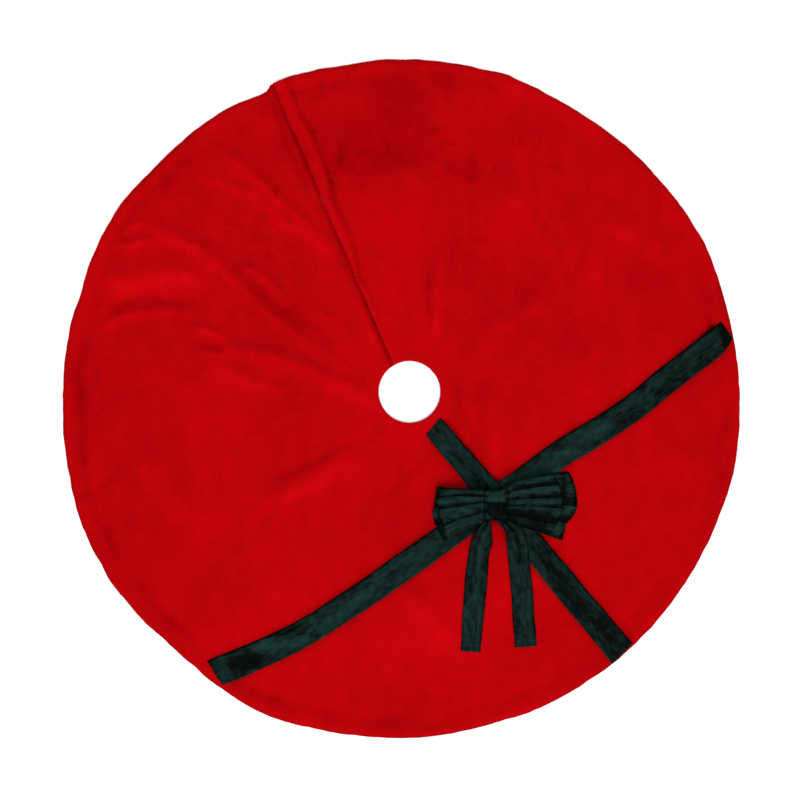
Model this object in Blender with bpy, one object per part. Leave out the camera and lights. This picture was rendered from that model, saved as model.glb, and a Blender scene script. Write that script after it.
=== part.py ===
"""Round plush tree skirt with a lapped slit, two sewn-on velvet ribbons and a velvet bow.

All lengths are in metres and +Z is up. The skirt lies flat on the ground, centred on the origin.
Every cloth piece is a plain closed solid of its real size, resting GAP above the one below it.
The slit's top edge folds back along a line beside the slit, and each bow tail lifts at the knot.
"""

import math

import bpy
import numpy as np

# ---- the skirt ----------------------------------------------------------------------------
SKIRT_RADIUS = 0.610            # outer rim
HOLE_RADIUS = 0.0552            # trunk hole
HOLE_CENTRE = (0.0163, 0.0131)  # slightly off the skirt's own centre
SLIT_ANGLE = math.radians(113.1)
LAP_HALF = 0.011                # each slit edge laps this far past the radial line
FLAP_WIDTH = 0.045              # from the radial line to the line the top edge folds back along
FOLD_BEND = 0.006               # flat stretch beside the fold
LAP_BEND = 0.004                # flat stretch beside the lap

# ---- the cloths ---------------------------------------------------------------------------
GAP = 0.0003                    # between cloth layers
LINING_THICK = 0.0006
PLUSH_THICK = 0.0035
CRUSHED_THICK = 0.0019          # plush pressed flat under the lap
LINING_INSET = 0.006            # the lining stops this far inside the turned edges

# ---- the pads -----------------------------------------------------------------------------
PAD_LENGTH = 0.030
PAD_WIDTH = 0.017
PAD_THICK = 0.0009
PAD_FRACTIONS = (0.30, 0.58, 0.86)  # along the slit, from the hole to the rim

# ---- the ribbons, whose routes are in skirt radii ------------------------------------------
RIBBON_THICK = 0.0010
CROSS_WIDTH = 0.0455            # the ribbon that runs from rim to rim
CROSS_ROUTE = ((-0.546, -0.804), (-0.438, -0.761), (-0.251, -0.669), (0.031, -0.479),
               (0.280, -0.300), (0.464, -0.167), (0.664, -0.041), (0.787, 0.055), (0.962, 0.189))
CROSS_JOIN = 0.182              # where its two lengths meet, as a share of the whole
RADIAL_WIDTH = 0.0438           # the ribbon that runs from the hole to the rim
RADIAL_ROUTE = ((0.280, -0.297), (0.492, -0.556), (0.654, -0.748))
RADIAL_START = 0.0190           # clear of the hole's edge
RADIAL_START_ANGLE = math.radians(-56.4)
CROSSING_MARGIN = 0.004         # a strip is fully raised this far before it meets another
CROSSING_RAMP = 0.020           # and comes down again over this length

# ---- the bow ------------------------------------------------------------------------------
BOW_CENTRE = (0.279, -0.316)    # in skirt radii
KNOT_WIDTH = 0.040              # along the bow
KNOT_HALF_LENGTH = 0.0315       # across the bow
KNOT_HALF_HEIGHT = 0.0155
KNOT_THICK = 0.0018
LOOP_RISE = 0.0215              # top of the front loops above the knot's middle
BACK_LOOPS = {"reach": (0.108, 0.147), "half_width": (0.048, 0.060), "drift": (-0.011, 0.000)}
FRONT_LOOPS = {"reach": (0.101, 0.120), "half_width": (0.043, 0.054), "drift": (-0.004, 0.006)}

# ---- the tails, whose routes start at the knot's lower side --------------------------------
TAIL_THICK = 0.0010
TAIL_START_WIDTH = 0.015
TAIL_SPREAD = 0.030             # length over which a tail opens to its full width
TAIL_DROP = 0.060               # length over which it comes down from the knot
LEFT_TAIL_WIDTH = 0.0360
LEFT_TAIL_ROUTE = ((-0.014, 0.0), (-0.0205, -0.012), (-0.024, -0.031), (-0.029, -0.049),
                   (-0.0355, -0.113), (-0.044, -0.228))
RIGHT_TAIL_WIDTH = 0.0345
RIGHT_TAIL_ROUTE = ((0.0175, 0.0), (0.0345, -0.012), (0.040, -0.031), (0.0455, -0.067),
                    (0.050, -0.125), (0.055, -0.219))

# ---- heights, from the ground up -----------------------------------------------------------
FACE_Z = LINING_THICK + GAP
FACE_TOP = FACE_Z + PLUSH_THICK
CRUSHED_TOP = FACE_Z + CRUSHED_THICK
LOOP_PAD_Z = CRUSHED_TOP + GAP
HOOK_PAD_Z = LOOP_PAD_Z + PAD_THICK + GAP
LAP_Z = HOOK_PAD_Z + PAD_THICK + GAP
RIBBON_Z = FACE_TOP + GAP
CROSSING_RISE = RIBBON_THICK + GAP
BOW_Z = RIBBON_Z + CROSSING_RISE + RIBBON_THICK + GAP
KNOT_Z = BOW_Z + KNOT_HALF_HEIGHT

# ---- fineness ------------------------------------------------------------------------------
RIM_STEPS = 144
HOLE_STEPS = 48
KNOT_STEPS = 40
LOOP_STEPS = 28                 # points round a bow loop
LOOP_STATIONS = 20              # rings along each bow loop
CROSS_STATIONS = 121
RADIAL_STATIONS = 61
TAIL_STATIONS = 41

PLUSH_RED = (0.46, 0.004, 0.006)
LINING_GREY = (0.34, 0.27, 0.22)
VELVET_GREEN = (0.010, 0.030, 0.022)
TAPE_RED = (0.30, 0.006, 0.008)

SLIT_ALONG = np.array([math.cos(SLIT_ANGLE), math.sin(SLIT_ANGLE)])
SLIT_ACROSS = np.array([math.sin(SLIT_ANGLE), -math.cos(SLIT_ANGLE)])
HOLE = np.array(HOLE_CENTRE)
BOW = np.array(BOW_CENTRE) * SKIRT_RADIUS
TAIL_START = BOW - np.array([0.0, KNOT_HALF_LENGTH + GAP])


# ---- helpers -------------------------------------------------------------------------------
def clear_scene():
    """Remove everything that is already in the file."""
    for obj in list(bpy.data.objects):
        bpy.data.objects.remove(obj, do_unlink=True)


def cloth(name, colour, roughness):
    """A plain cloth material for one object."""
    material = bpy.data.materials.new(name)
    material.use_nodes = True
    shader = material.node_tree.nodes["Principled BSDF"]
    shader.inputs["Base Color"].default_value = (*colour, 1.0)
    shader.inputs["Roughness"].default_value = roughness
    shader.inputs["Metallic"].default_value = 0.0
    return material


def add_solid(name, points, faces, colour, roughness=0.95, origin=(0.0, 0.0, 0.0)):
    """Make one closed object from points in place, with its origin where it rests or turns."""
    shift = np.asarray(origin, dtype=float)
    mesh = bpy.data.meshes.new(name)
    mesh.from_pydata((np.asarray(points) - shift).tolist(), [], faces)
    obj = bpy.data.objects.new(name, mesh)
    obj.location = shift
    bpy.context.scene.collection.objects.link(obj)
    mesh.materials.append(cloth(name, colour, roughness))
    return obj


def arc(centre, radius, start, end, steps):
    """Points on a circle between two angles, both ends included."""
    angle = np.linspace(start, end, steps + 1)
    return np.column_stack([centre[0] + radius * np.cos(angle), centre[1] + radius * np.sin(angle)])


def ease(value):
    """Smooth step between 0 and 1."""
    value = np.clip(value, 0.0, 1.0)
    return value * value * (3.0 - 2.0 * value)


def prism(outline, bottom, top):
    """Points and faces of a flat sheet, from a counter-clockwise outline."""
    count = len(outline)
    low = np.column_stack([outline, np.full(count, bottom)])
    high = np.column_stack([outline, np.full(count, top)])
    faces = [list(range(count))[::-1], list(range(count, 2 * count))]
    faces += [[i, (i + 1) % count, count + (i + 1) % count, count + i] for i in range(count)]
    return np.vstack([low, high]), faces


def ring_faces(stations, around):
    """Side faces and the two end faces of a run of equal rings."""
    faces = []
    for i in range(stations - 1):
        for j in range(around):
            k = (j + 1) % around
            faces.append([i * around + k, (i + 1) * around + k, (i + 1) * around + j, i * around + j])
    last = (stations - 1) * around
    faces.append(list(range(around))[::-1])
    faces.append(list(range(last, last + around)))
    return faces


def smooth_path(controls, count):
    """Catmull-Rom curve through control points, evenly spaced along its length."""
    pts = np.asarray(controls, dtype=float)
    pts = np.vstack([2 * pts[0] - pts[1], pts, 2 * pts[-1] - pts[-2]])
    t = np.linspace(0.0, 1.0, 24, endpoint=False)[:, None]
    runs = []
    for a, b, c, d in zip(pts[:-3], pts[1:-2], pts[2:-1], pts[3:]):
        runs.append(0.5 * (2 * b + (c - a) * t + (2 * a - 5 * b + 4 * c - d) * t ** 2
                           + (3 * b - a - 3 * c + d) * t ** 3))
    curve = np.vstack(runs + [pts[-2][None, :]])
    length = along(curve)
    even = np.linspace(0.0, length[-1], count)
    return np.column_stack([np.interp(even, length, curve[:, i]) for i in range(2)])


def along(path):
    """Length run up to each point of a path."""
    return np.concatenate([[0.0], np.cumsum(np.linalg.norm(np.diff(path, axis=0), axis=1))])


def strip(centre, heights, widths, thick):
    """Points and faces of a strip along a plan centreline, with a height and width by station."""
    ahead = np.gradient(centre, axis=0)
    ahead /= np.linalg.norm(ahead, axis=1)[:, None]
    side = np.column_stack([-ahead[:, 1], ahead[:, 0]]) * (np.asarray(widths) / 2.0)[:, None]
    left, right = centre + side, centre - side
    rings = np.stack([
        np.column_stack([right, heights]),
        np.column_stack([left, heights]),
        np.column_stack([left, heights + thick]),
        np.column_stack([right, heights + thick]),
    ], axis=1)
    return rings.reshape(-1, 3), ring_faces(len(centre), 4)


def rise_over(centre, half_width, under, under_half):
    """Extra height that lifts a strip over another strip that it crosses."""
    apart = np.linalg.norm(centre[:, None, :] - under[None, :, :], axis=2).min(axis=1)
    reach = half_width + under_half + CROSSING_MARGIN
    return CROSSING_RISE * np.clip((reach + CROSSING_RAMP - apart) / CROSSING_RAMP, 0.0, 1.0)


# ---- skirt ---------------------------------------------------------------------------------
def slit_point(out, across):
    """A plan point measured from the hole's centre, out along the slit and across it."""
    return HOLE + out * SLIT_ALONG + across * SLIT_ACROSS


def rim_reach(across, radius):
    """How far out a line beside the slit meets the rim."""
    base = HOLE + across * SLIT_ACROSS
    middle = float(base @ SLIT_ALONG)
    return -middle + math.sqrt(middle * middle - float(base @ base) + radius * radius)


def hole_reach(across, radius):
    """How far out a line beside the slit leaves the hole."""
    return math.sqrt(radius * radius - across * across)


def panel_outline(rim, hole, lap_edge, fold_edge):
    """Ring outline, open between the lap's lower edge and the fold line."""
    start = slit_point(rim_reach(lap_edge, rim), lap_edge)
    end = slit_point(rim_reach(fold_edge, rim), fold_edge)
    start_angle = math.atan2(start[1], start[0])
    end_angle = math.atan2(end[1], end[0]) + 2.0 * math.pi
    outer = arc((0.0, 0.0), rim, start_angle, end_angle, RIM_STEPS)
    fold_angle = SLIT_ANGLE - math.asin(fold_edge / hole)
    lap_angle = SLIT_ANGLE - math.asin(lap_edge / hole) - 2.0 * math.pi
    inner = arc(HOLE, hole, fold_angle, lap_angle, HOLE_STEPS)
    return np.vstack([outer, inner])


def build_lining():
    """Backing under the whole skirt, stopping short of the turned edges."""
    outline = panel_outline(SKIRT_RADIUS - LINING_INSET, HOLE_RADIUS + LINING_INSET / 2,
                            LAP_HALF - LINING_INSET / 2, FLAP_WIDTH + GAP / 2)
    add_solid("lining", *prism(outline, 0.0, LINING_THICK), LINING_GREY)


def build_face():
    """Red plush top cloth, with its pile pressed flat where the slit laps over it."""
    outline = panel_outline(SKIRT_RADIUS, HOLE_RADIUS, LAP_HALF, FLAP_WIDTH + GAP / 2)
    face = add_solid("face", *prism(outline, FACE_Z, FACE_TOP), PLUSH_RED)
    inner, outer = HOLE_RADIUS / 2, SKIRT_RADIUS * 1.1
    left, right = -LAP_HALF - 0.001, LAP_HALF * 2
    box = np.array([slit_point(inner, left), slit_point(inner, right),
                    slit_point(outer, right), slit_point(outer, left)])
    cutter = add_solid("lap_press", *prism(box, CRUSHED_TOP, FACE_TOP * 2), PLUSH_RED)
    cutter.hide_render = True
    cutter.display_type = "WIRE"
    press = face.modifiers.new("lap_press", "BOOLEAN")
    press.operation = "DIFFERENCE"
    press.solver = "EXACT"
    press.object = cutter


# ---- the slit's top edge -------------------------------------------------------------------
def fold_origin():
    """A point on the line that the slit's top edge folds back along."""
    middle = (hole_reach(FLAP_WIDTH, HOLE_RADIUS) + rim_reach(FLAP_WIDTH, SKIRT_RADIUS)) / 2
    return (*slit_point(middle, FLAP_WIDTH), FACE_TOP + GAP / 2)


def build_flap_layer(name, bottom, thick, rim, hole, lap, colour):
    """One cloth of the top edge: flat at the fold, a ramp, then flat over the lower edge."""
    bends = (FLAP_WIDTH - GAP / 2, FLAP_WIDTH - FOLD_BEND, LAP_HALF + LAP_BEND, -lap)
    stations = [np.linspace(a, b, 5) for a, b in zip(bends, bends[1:])]
    across = np.unique(np.concatenate(stations))[::-1]
    ramp = np.clip((bends[1] - across) / (bends[1] - bends[2]), 0.0, 1.0)
    rings = []
    for value, low in zip(across, bottom + LAP_Z * ramp):
        inner = slit_point(hole_reach(value, hole), value)
        outer = slit_point(rim_reach(value, rim), value)
        rings.append([[*outer, low], [*inner, low], [*inner, low + thick], [*outer, low + thick]])
    points = np.array(rings).reshape(-1, 3)
    add_solid(name, points, ring_faces(len(across), 4), colour, origin=fold_origin())


def build_flap():
    """Top edge of the slit: its plush and the lining behind it."""
    build_flap_layer("slit_flap_face", FACE_Z, PLUSH_THICK, SKIRT_RADIUS, HOLE_RADIUS,
                     LAP_HALF, PLUSH_RED)
    build_flap_layer("slit_flap_lining", 0.0, LINING_THICK, SKIRT_RADIUS - LINING_INSET,
                     HOLE_RADIUS + LINING_INSET / 2, LAP_HALF - LINING_INSET / 2, LINING_GREY)


def build_pads():
    """Hook-and-loop pads that hold the lap shut: loop below, hook above."""
    start = hole_reach(0.0, HOLE_RADIUS)
    run = rim_reach(0.0, SKIRT_RADIUS) - start
    for index, fraction in enumerate(PAD_FRACTIONS, start=1):
        middle = start + run * fraction
        corners = ((-1, -1), (-1, 1), (1, 1), (1, -1))
        outline = np.array([slit_point(middle + a * PAD_LENGTH / 2, b * PAD_WIDTH / 2)
                            for a, b in corners])
        add_solid(f"loop_pad_{index}", *prism(outline, LOOP_PAD_Z, LOOP_PAD_Z + PAD_THICK),
                  TAPE_RED)
        add_solid(f"hook_pad_{index}", *prism(outline, HOOK_PAD_Z, HOOK_PAD_Z + PAD_THICK),
                  TAPE_RED, 0.6, origin=fold_origin())


# ---- ribbons -------------------------------------------------------------------------------
def cross_path():
    """Centreline of the ribbon that crosses the skirt from rim to rim."""
    return smooth_path(np.array(CROSS_ROUTE) * SKIRT_RADIUS, CROSS_STATIONS)


def radial_path():
    """Centreline of the ribbon that runs from the hole to the rim."""
    way = np.array([math.cos(RADIAL_START_ANGLE), math.sin(RADIAL_START_ANGLE)])
    start = HOLE + (HOLE_RADIUS + RADIAL_START) * way
    return smooth_path(np.vstack([start, np.array(RADIAL_ROUTE) * SKIRT_RADIUS]), RADIAL_STATIONS)


def build_cross_ribbon():
    """The rim-to-rim ribbon, in two lengths that meet at a seam."""
    path = cross_path()
    split = int(round(CROSS_JOIN * (CROSS_STATIONS - 1)))
    short, rest = path[:split + 1].copy(), path[split:].copy()
    ahead = (path[split + 1] - path[split - 1]) / np.linalg.norm(path[split + 1] - path[split - 1])
    short[-1] -= ahead * GAP
    rest[0] += ahead * GAP
    for name, piece in (("cross_ribbon_short", short), ("cross_ribbon_long", rest)):
        level, width = np.full(len(piece), RIBBON_Z), np.full(len(piece), CROSS_WIDTH)
        add_solid(name, *strip(piece, level, width, RIBBON_THICK), VELVET_GREEN, 0.8)


def build_radial_ribbon():
    """The hole-to-rim ribbon, which passes over the other one."""
    path = radial_path()
    level = RIBBON_Z + rise_over(path, RADIAL_WIDTH / 2, cross_path(), CROSS_WIDTH / 2)
    width = np.full(len(path), RADIAL_WIDTH)
    add_solid("radial_ribbon", *strip(path, level, width, RIBBON_THICK), VELVET_GREEN, 0.8)


# ---- bow -----------------------------------------------------------------------------------
def build_knot():
    """Band wrapped round the middle of the bow: an oval tube."""
    angle = np.linspace(0.0, 2.0 * math.pi, KNOT_STEPS, endpoint=False)
    rings = []
    for inset, end in ((0.0, -1), (0.0, 1), (KNOT_THICK, 1), (KNOT_THICK, -1)):
        rings.append(np.column_stack([
            np.full(KNOT_STEPS, BOW[0] + end * KNOT_WIDTH / 2),
            BOW[1] + (KNOT_HALF_LENGTH - inset) * np.cos(angle),
            KNOT_Z + (KNOT_HALF_HEIGHT - inset) * np.sin(angle)]))
    faces = []
    for a in range(4):
        b = (a + 1) % 4 * KNOT_STEPS
        for j in range(KNOT_STEPS):
            k = (j + 1) % KNOT_STEPS
            faces.append([a * KNOT_STEPS + j, a * KNOT_STEPS + k, b + k, b + j])
    add_solid("bow_knot", np.vstack(rings), faces, VELVET_GREEN, 0.7)


def build_bow_layer(name, loops, neck_levels, loop_levels):
    """One strip of the bow: a loop to each side of the gathered neck inside the knot.

    loops gives each side's reach from the knot, half-width at the tip, and how far its middle
    drifts across the bow. The levels are the underside and top, at the neck and at full flare.
    """
    clear = KNOT_WIDTH / 2 + 0.002
    out = 1.0 - (1.0 - np.linspace(0.0, 1.0, LOOP_STATIONS)) ** 1.5
    left, right = loops["reach"]
    x = np.concatenate([-(clear + (left - clear) * out)[::-1], clear + (right - clear) * out])
    reach, tip, drift = (np.where(x < 0.0, *loops[key]) for key in ("reach", "half_width", "drift"))
    flare = ease((np.abs(x) - clear) / (reach * 0.92 - clear))
    rounding = np.clip((np.abs(x) / reach - 0.86) / 0.14, 0.0, 1.0)
    close = np.sqrt(np.clip(1.0 - rounding ** 2.5, 0.04, 1.0))
    neck = (KNOT_HALF_LENGTH - KNOT_THICK) * 0.80
    half = (neck + (tip - neck) * flare) * (0.35 + 0.65 * close)
    bottom, top = (a + (b - a) * flare for a, b in zip(neck_levels, loop_levels))
    angle = np.linspace(0.0, 2.0 * math.pi, LOOP_STEPS, endpoint=False)
    points = np.stack([
        np.repeat((BOW[0] + x)[:, None], LOOP_STEPS, axis=1),
        (BOW[1] + drift * flare)[:, None] + half[:, None] * np.cos(angle),
        ((top + bottom) / 2)[:, None] + ((top - bottom) / 2 * close)[:, None] * np.sin(angle)], axis=2)
    add_solid(name, points.reshape(-1, 3), ring_faces(len(x), LOOP_STEPS), VELVET_GREEN, 0.8)


def build_bow():
    """Back and front strips of loops, with their necks stacked inside the knot."""
    inner = (KNOT_HALF_HEIGHT - KNOT_THICK) * 0.93
    under, over = KNOT_Z - GAP / 2, KNOT_Z + GAP / 2
    build_bow_layer("bow_back", BACK_LOOPS, (KNOT_Z - inner, under), (BOW_Z, under))
    build_bow_layer("bow_front", FRONT_LOOPS, (over, KNOT_Z + inner), (over, KNOT_Z + LOOP_RISE))


def build_tail(name, route, width):
    """Free ribbon end that comes down from the knot and lies on the skirt and the ribbons."""
    path = smooth_path(TAIL_START + np.array(route), TAIL_STATIONS)
    run = along(path)
    level = RIBBON_Z + np.maximum(
        rise_over(path, width / 2, cross_path(), CROSS_WIDTH / 2),
        rise_over(path, width / 2, radial_path(), RADIAL_WIDTH / 2))
    level += (KNOT_Z - TAIL_THICK / 2 - level) * (1.0 - ease(run / TAIL_DROP))
    widths = TAIL_START_WIDTH + (width - TAIL_START_WIDTH) * ease(run / TAIL_SPREAD)
    points, faces = strip(path, level, widths, TAIL_THICK)
    points[:4, 1] = TAIL_START[1]
    hinge = (TAIL_START[0] + route[0][0], TAIL_START[1], KNOT_Z + TAIL_THICK / 2)
    add_solid(name, points, faces, VELVET_GREEN, 0.8, origin=hinge)


def main():
    """Build every piece of the skirt."""
    clear_scene()
    build_lining()
    build_face()
    build_flap()
    build_pads()
    build_cross_ribbon()
    build_radial_ribbon()
    build_bow()
    build_knot()
    build_tail("tail_left", LEFT_TAIL_ROUTE, LEFT_TAIL_WIDTH)
    build_tail("tail_right", RIGHT_TAIL_ROUTE, RIGHT_TAIL_WIDTH)


main()
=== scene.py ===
"""Looks of a round plush tree skirt with a lapped slit, velvet ribbons and a velvet bow.

The laid-out plush, its backing, the ribbons, the bow and its tails are surfaces worked out as whole
arrays from a few sizes, and each rides on its body of the fixed frame. Lengths are in metres.
"""
from __future__ import annotations

import logging
import math
from dataclasses import dataclass, field
from enum import Enum
from typing import Sequence

import bpy
import numpy as np
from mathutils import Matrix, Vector


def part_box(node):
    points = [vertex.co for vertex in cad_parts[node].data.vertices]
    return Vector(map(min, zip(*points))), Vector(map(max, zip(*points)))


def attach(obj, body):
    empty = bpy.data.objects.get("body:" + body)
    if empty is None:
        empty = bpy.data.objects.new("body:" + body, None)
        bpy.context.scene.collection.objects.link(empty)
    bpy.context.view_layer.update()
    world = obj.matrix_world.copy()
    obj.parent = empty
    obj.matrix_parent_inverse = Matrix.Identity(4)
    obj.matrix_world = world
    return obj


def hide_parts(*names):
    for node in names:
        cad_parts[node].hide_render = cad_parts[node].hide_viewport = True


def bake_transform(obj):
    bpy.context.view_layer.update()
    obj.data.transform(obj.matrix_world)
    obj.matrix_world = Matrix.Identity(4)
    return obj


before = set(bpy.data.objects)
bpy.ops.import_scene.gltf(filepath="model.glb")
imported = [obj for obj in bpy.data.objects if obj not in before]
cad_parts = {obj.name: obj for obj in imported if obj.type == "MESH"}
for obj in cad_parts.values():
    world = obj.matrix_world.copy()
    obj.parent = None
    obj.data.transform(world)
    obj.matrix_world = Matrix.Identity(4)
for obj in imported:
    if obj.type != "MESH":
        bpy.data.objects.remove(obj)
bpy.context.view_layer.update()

Array = np.ndarray
LOG = logging.getLogger("tree_skirt")
BLOCK = 20000          # points compared with a line at a time
SHARP = 75.0           # faces that meet at more than this many degrees show an edge
DARK_STOP = 0.25       # where a pile finish is dark: below it lies painted shade, above it the pile from dark to light
TINY = 1e-12           # keeps a division from meeting zero
STRIP_WIDTH = 0.081    # width of the folding strip on which its columns are counted
TURN_RADIUS = 0.004    # radius of a ribbon's turned-in edge
RIBBON_THICK = 0.0010  # thickness of the velvet
LAID_RISE = 0.0034     # how much a ribbon raises what is laid over it
WAVE_TURN = 20.0       # radians that a wave texture turns in one unit at a scale of 1


class Body(str, Enum):
    """Bodies of the frame."""

    SKIRT = "skirt"
    FLAP = "slit_flap"
    LEFT_TAIL = "tail_left"
    RIGHT_TAIL = "tail_right"


class Slot(str, Enum):
    """Material slots of the record."""

    PLUSH = "plush_red"
    LINING = "lining"
    VELVET = "velvet_green"
    LOOP = "loop_tape"
    HOOK = "hook_tape"


class Side(Enum):
    """Which way a bow loop reaches from the knot."""

    LEFT = -1.0
    RIGHT = 1.0


# ---- number helpers -------------------------------------------------------------------------
def ease(value: Array) -> Array:
    """Smooth step from 0 to 1: three times the square less twice the cube."""
    value = np.clip(value, 0.0, 1.0)
    return value * value * (3.0 - 2.0 * value)


def bell(value: Array) -> Array:
    """Bell curve: the exponential of minus the square."""
    return np.exp(-np.square(value))


def band(distance: Array, at: float, spread: float) -> Array:
    """Bell curve of a distance, highest at one distance and as wide as the spread to each side."""
    return bell((distance - at) / spread)


def fade(distance: Array, start: float, over: float) -> Array:
    """Smooth fall from 1 at the start to 0 once the distance has grown by a further run."""
    return 1.0 - ease((distance - start) / over)


def turned(distance: Array, radius: float) -> Array:
    """Quarter circle of a turned-in edge: 0 at the edge, 1 from the radius inwards."""
    return np.sqrt(1.0 - np.square(1.0 - np.clip(distance / radius, 0.0, 1.0)))


def smooth_noise(x: Array, y: Array, size: float, seed: int) -> Array:
    """Rolling noise from -1 to 1.

    Values from a seeded lattice are blended across each cell with the smooth step.

    Args:
        x: first coordinate of each point.
        y: second coordinate of each point.
        size: cell width, in the same unit as the points.
        seed: picks the lattice.

    Returns:
        One value for each point.
    """
    lattice = np.random.default_rng(seed).uniform(-1.0, 1.0, (128, 128))
    gx, gy = np.asarray(x) / size + 64.0, np.asarray(y) / size + 64.0
    ix, iy = np.floor(gx).astype(int), np.floor(gy).astype(int)
    fx, fy = ease(gx - ix), ease(gy - iy)
    ix, iy, jx, jy = ix % 128, iy % 128, (ix + 1) % 128, (iy + 1) % 128
    low = lattice[ix, iy] * (1.0 - fx) + lattice[jx, iy] * fx
    high = lattice[ix, jy] * (1.0 - fx) + lattice[jx, jy] * fx
    return low * (1.0 - fy) + high * fy


def line_noise(run: Array, size: float, seed: int) -> Array:
    """Rolling noise along a line."""
    return smooth_noise(run, run * 0.0, size, seed)


def plan_points(x: Array, y: Array) -> Array:
    """Plan points of two coordinate grids, n by 2."""
    return np.stack([x.ravel(), y.ravel()], axis=1)


def curve_through(controls: Sequence[Sequence[float]] | Array, count: int) -> Array:
    """Evenly spaced points on a Catmull-Rom curve.

    Each span is the cubic whose slope at a control point is half the step between its neighbours.

    Args:
        controls: control points, of any number of dimensions.
        count: how many points to return.

    Returns:
        The points, count by dimensions.
    """
    pts = np.asarray(controls, dtype=float)
    pts = np.vstack([2 * pts[0] - pts[1], pts, 2 * pts[-1] - pts[-2]])
    t = np.linspace(0.0, 1.0, 24, endpoint=False)[None, :, None]
    a, b, c, d = pts[:-3, None], pts[1:-2, None], pts[2:-1, None], pts[3:, None]
    spans = 0.5 * (2 * b + (c - a) * t + (2 * a - 5 * b + 4 * c - d) * t ** 2
                   + (3 * b - a - 3 * c + d) * t ** 3)
    line = np.vstack([spans.reshape(-1, pts.shape[1]), pts[-2][None]])
    run = run_along(line)
    even = np.linspace(0.0, run[-1], count)
    return np.stack([np.interp(even, run, line[:, i]) for i in range(pts.shape[1])], axis=1)


def run_along(line: Array) -> Array:
    """Length run up to each point of a line."""
    return np.concatenate([[0.0], np.cumsum(np.linalg.norm(np.diff(line, axis=0), axis=1))])


def sideways(line: Array) -> Array:
    """Unit vector to the left of a plan line, at each of its points."""
    ahead = np.gradient(line, axis=0)
    ahead /= np.linalg.norm(ahead, axis=1)[:, None]
    return np.stack([-ahead[:, 1], ahead[:, 0]], axis=1)


def nearest(points: Array, line: Array) -> tuple[Array, Array, Array]:
    """Nearest point of a finely stepped line, in blocks to spare memory.

    Args:
        points: plan points, n by 2.
        line: plan line, m by 2.

    Returns:
        For each point its distance from the line, 1 on the left of the line or -1 on its right,
        and the share of the line run there.
    """
    left = sideways(line)
    share = run_along(line) / run_along(line)[-1]
    apart, sign, where = (np.empty(len(points)) for _ in range(3))
    for start in range(0, len(points), BLOCK):
        block = points[start:start + BLOCK]
        gap = ((block[:, None, :] - line[None, :, :]) ** 2).sum(axis=2)
        index = gap.argmin(axis=1)
        picked = slice(start, start + len(block))
        apart[picked] = np.sqrt(gap[np.arange(len(block)), index])
        sign[picked] = np.sign(((block - line[index]) * left[index]).sum(axis=1))
        where[picked] = share[index]
    return apart, np.where(sign == 0.0, 1.0, sign), where


# ---- mesh helpers ---------------------------------------------------------------------------
def make_piece(name: str, points: Array, faces: list[list[int]], material: bpy.types.Material,
               cloth_map: Array, nap_and_shade: Array) -> bpy.types.Object:
    """Link a smooth-shaded mesh object at the origin.

    Args:
        name: name of the object and its mesh.
        points: vertex places, n by 3.
        faces: vertex numbers of each face, outward.
        material: its finish.
        cloth_map: metres along and across the cloth for each vertex, for the weave.
        nap_and_shade: how light the pile lies at each vertex, with painted light and shade: 0 to 1, down to
            -1/3 in painted shade.

    Returns:
        The object.
    """
    mesh = bpy.data.meshes.new(name)
    mesh.from_pydata(points.tolist(), [], faces)
    mesh.shade_smooth()
    mesh.set_sharp_from_angle(angle=math.radians(SHARP))
    mesh.materials.append(material)
    corner = np.empty(len(mesh.loops), dtype=np.int32)
    mesh.loops.foreach_get("vertex_index", corner)
    layer = mesh.uv_layers.new(name="cloth")
    layer.data.foreach_set("uv", cloth_map[corner].astype(np.float32).ravel())
    # Painted shade lies below zero and is stored under the dark stop, where the ramp runs to the shade
    # colour.
    above = 1.0 - DARK_STOP
    stored = DARK_STOP + above * np.clip(nap_and_shade, -DARK_STOP / above, 1.0)
    layer = mesh.attributes.new("nap_and_shade", "FLOAT", "POINT")
    layer.data.foreach_set("value", stored.astype(np.float32))
    obj = bpy.data.objects.new(name, mesh)
    bpy.context.scene.collection.objects.link(obj)
    return obj


def grid_faces(rows: int, cols: int, first: int = 0, flip: bool = False,
               wrap: bool = False) -> list[list[int]]:
    """Quads of a grid whose vertices run row by row.

    Args:
        rows: number of rows.
        cols: number of points in each row.
        first: number of the grid's first vertex.
        flip: turn the faces over.
        wrap: join the last row to the first.

    Returns:
        Vertex numbers of each quad.
    """
    i, j = np.meshgrid(np.arange(rows if wrap else rows - 1), np.arange(cols - 1), indexing="ij")
    n = (i + 1) % rows
    quads = np.stack([i * cols + j, n * cols + j, n * cols + j + 1, i * cols + j + 1], axis=-1)
    quads = quads.reshape(-1, 4) + first
    return (quads[:, ::-1] if flip else quads).tolist()


def grid_normals(grid: Array, wrap: bool = False) -> Array:
    """Unit normal at each point of a grid: the cross product of its two steps.

    Args:
        grid: rows by columns by 3.
        wrap: True where the last row joins the first.

    Returns:
        The normals, in the grid's shape.
    """
    if wrap:
        down = np.roll(grid, -1, axis=0) - np.roll(grid, 1, axis=0)
    else:
        down = np.gradient(grid, axis=0)
    normal = np.cross(down, np.gradient(grid, axis=1))
    return normal / np.maximum(np.linalg.norm(normal, axis=2, keepdims=True), TINY)


def edge_walls(outer: Array, middle: Array, inner: Array) -> list[list[int]]:
    """Two rows of quads round a closed edge: from the outer face over its turn to the inner face.

    Args:
        outer: vertex numbers round the outer face's edge.
        middle: the same round the turn.
        inner: the same round the inner face's edge.

    Returns:
        Vertex numbers of each quad.
    """
    ends = [np.roll(row, -1) for row in (outer, middle, inner)]
    upper = np.stack([outer, ends[0], ends[1], middle], axis=1)
    lower = np.stack([middle, ends[1], ends[2], inner], axis=1)
    return np.vstack([upper, lower]).tolist()


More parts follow.
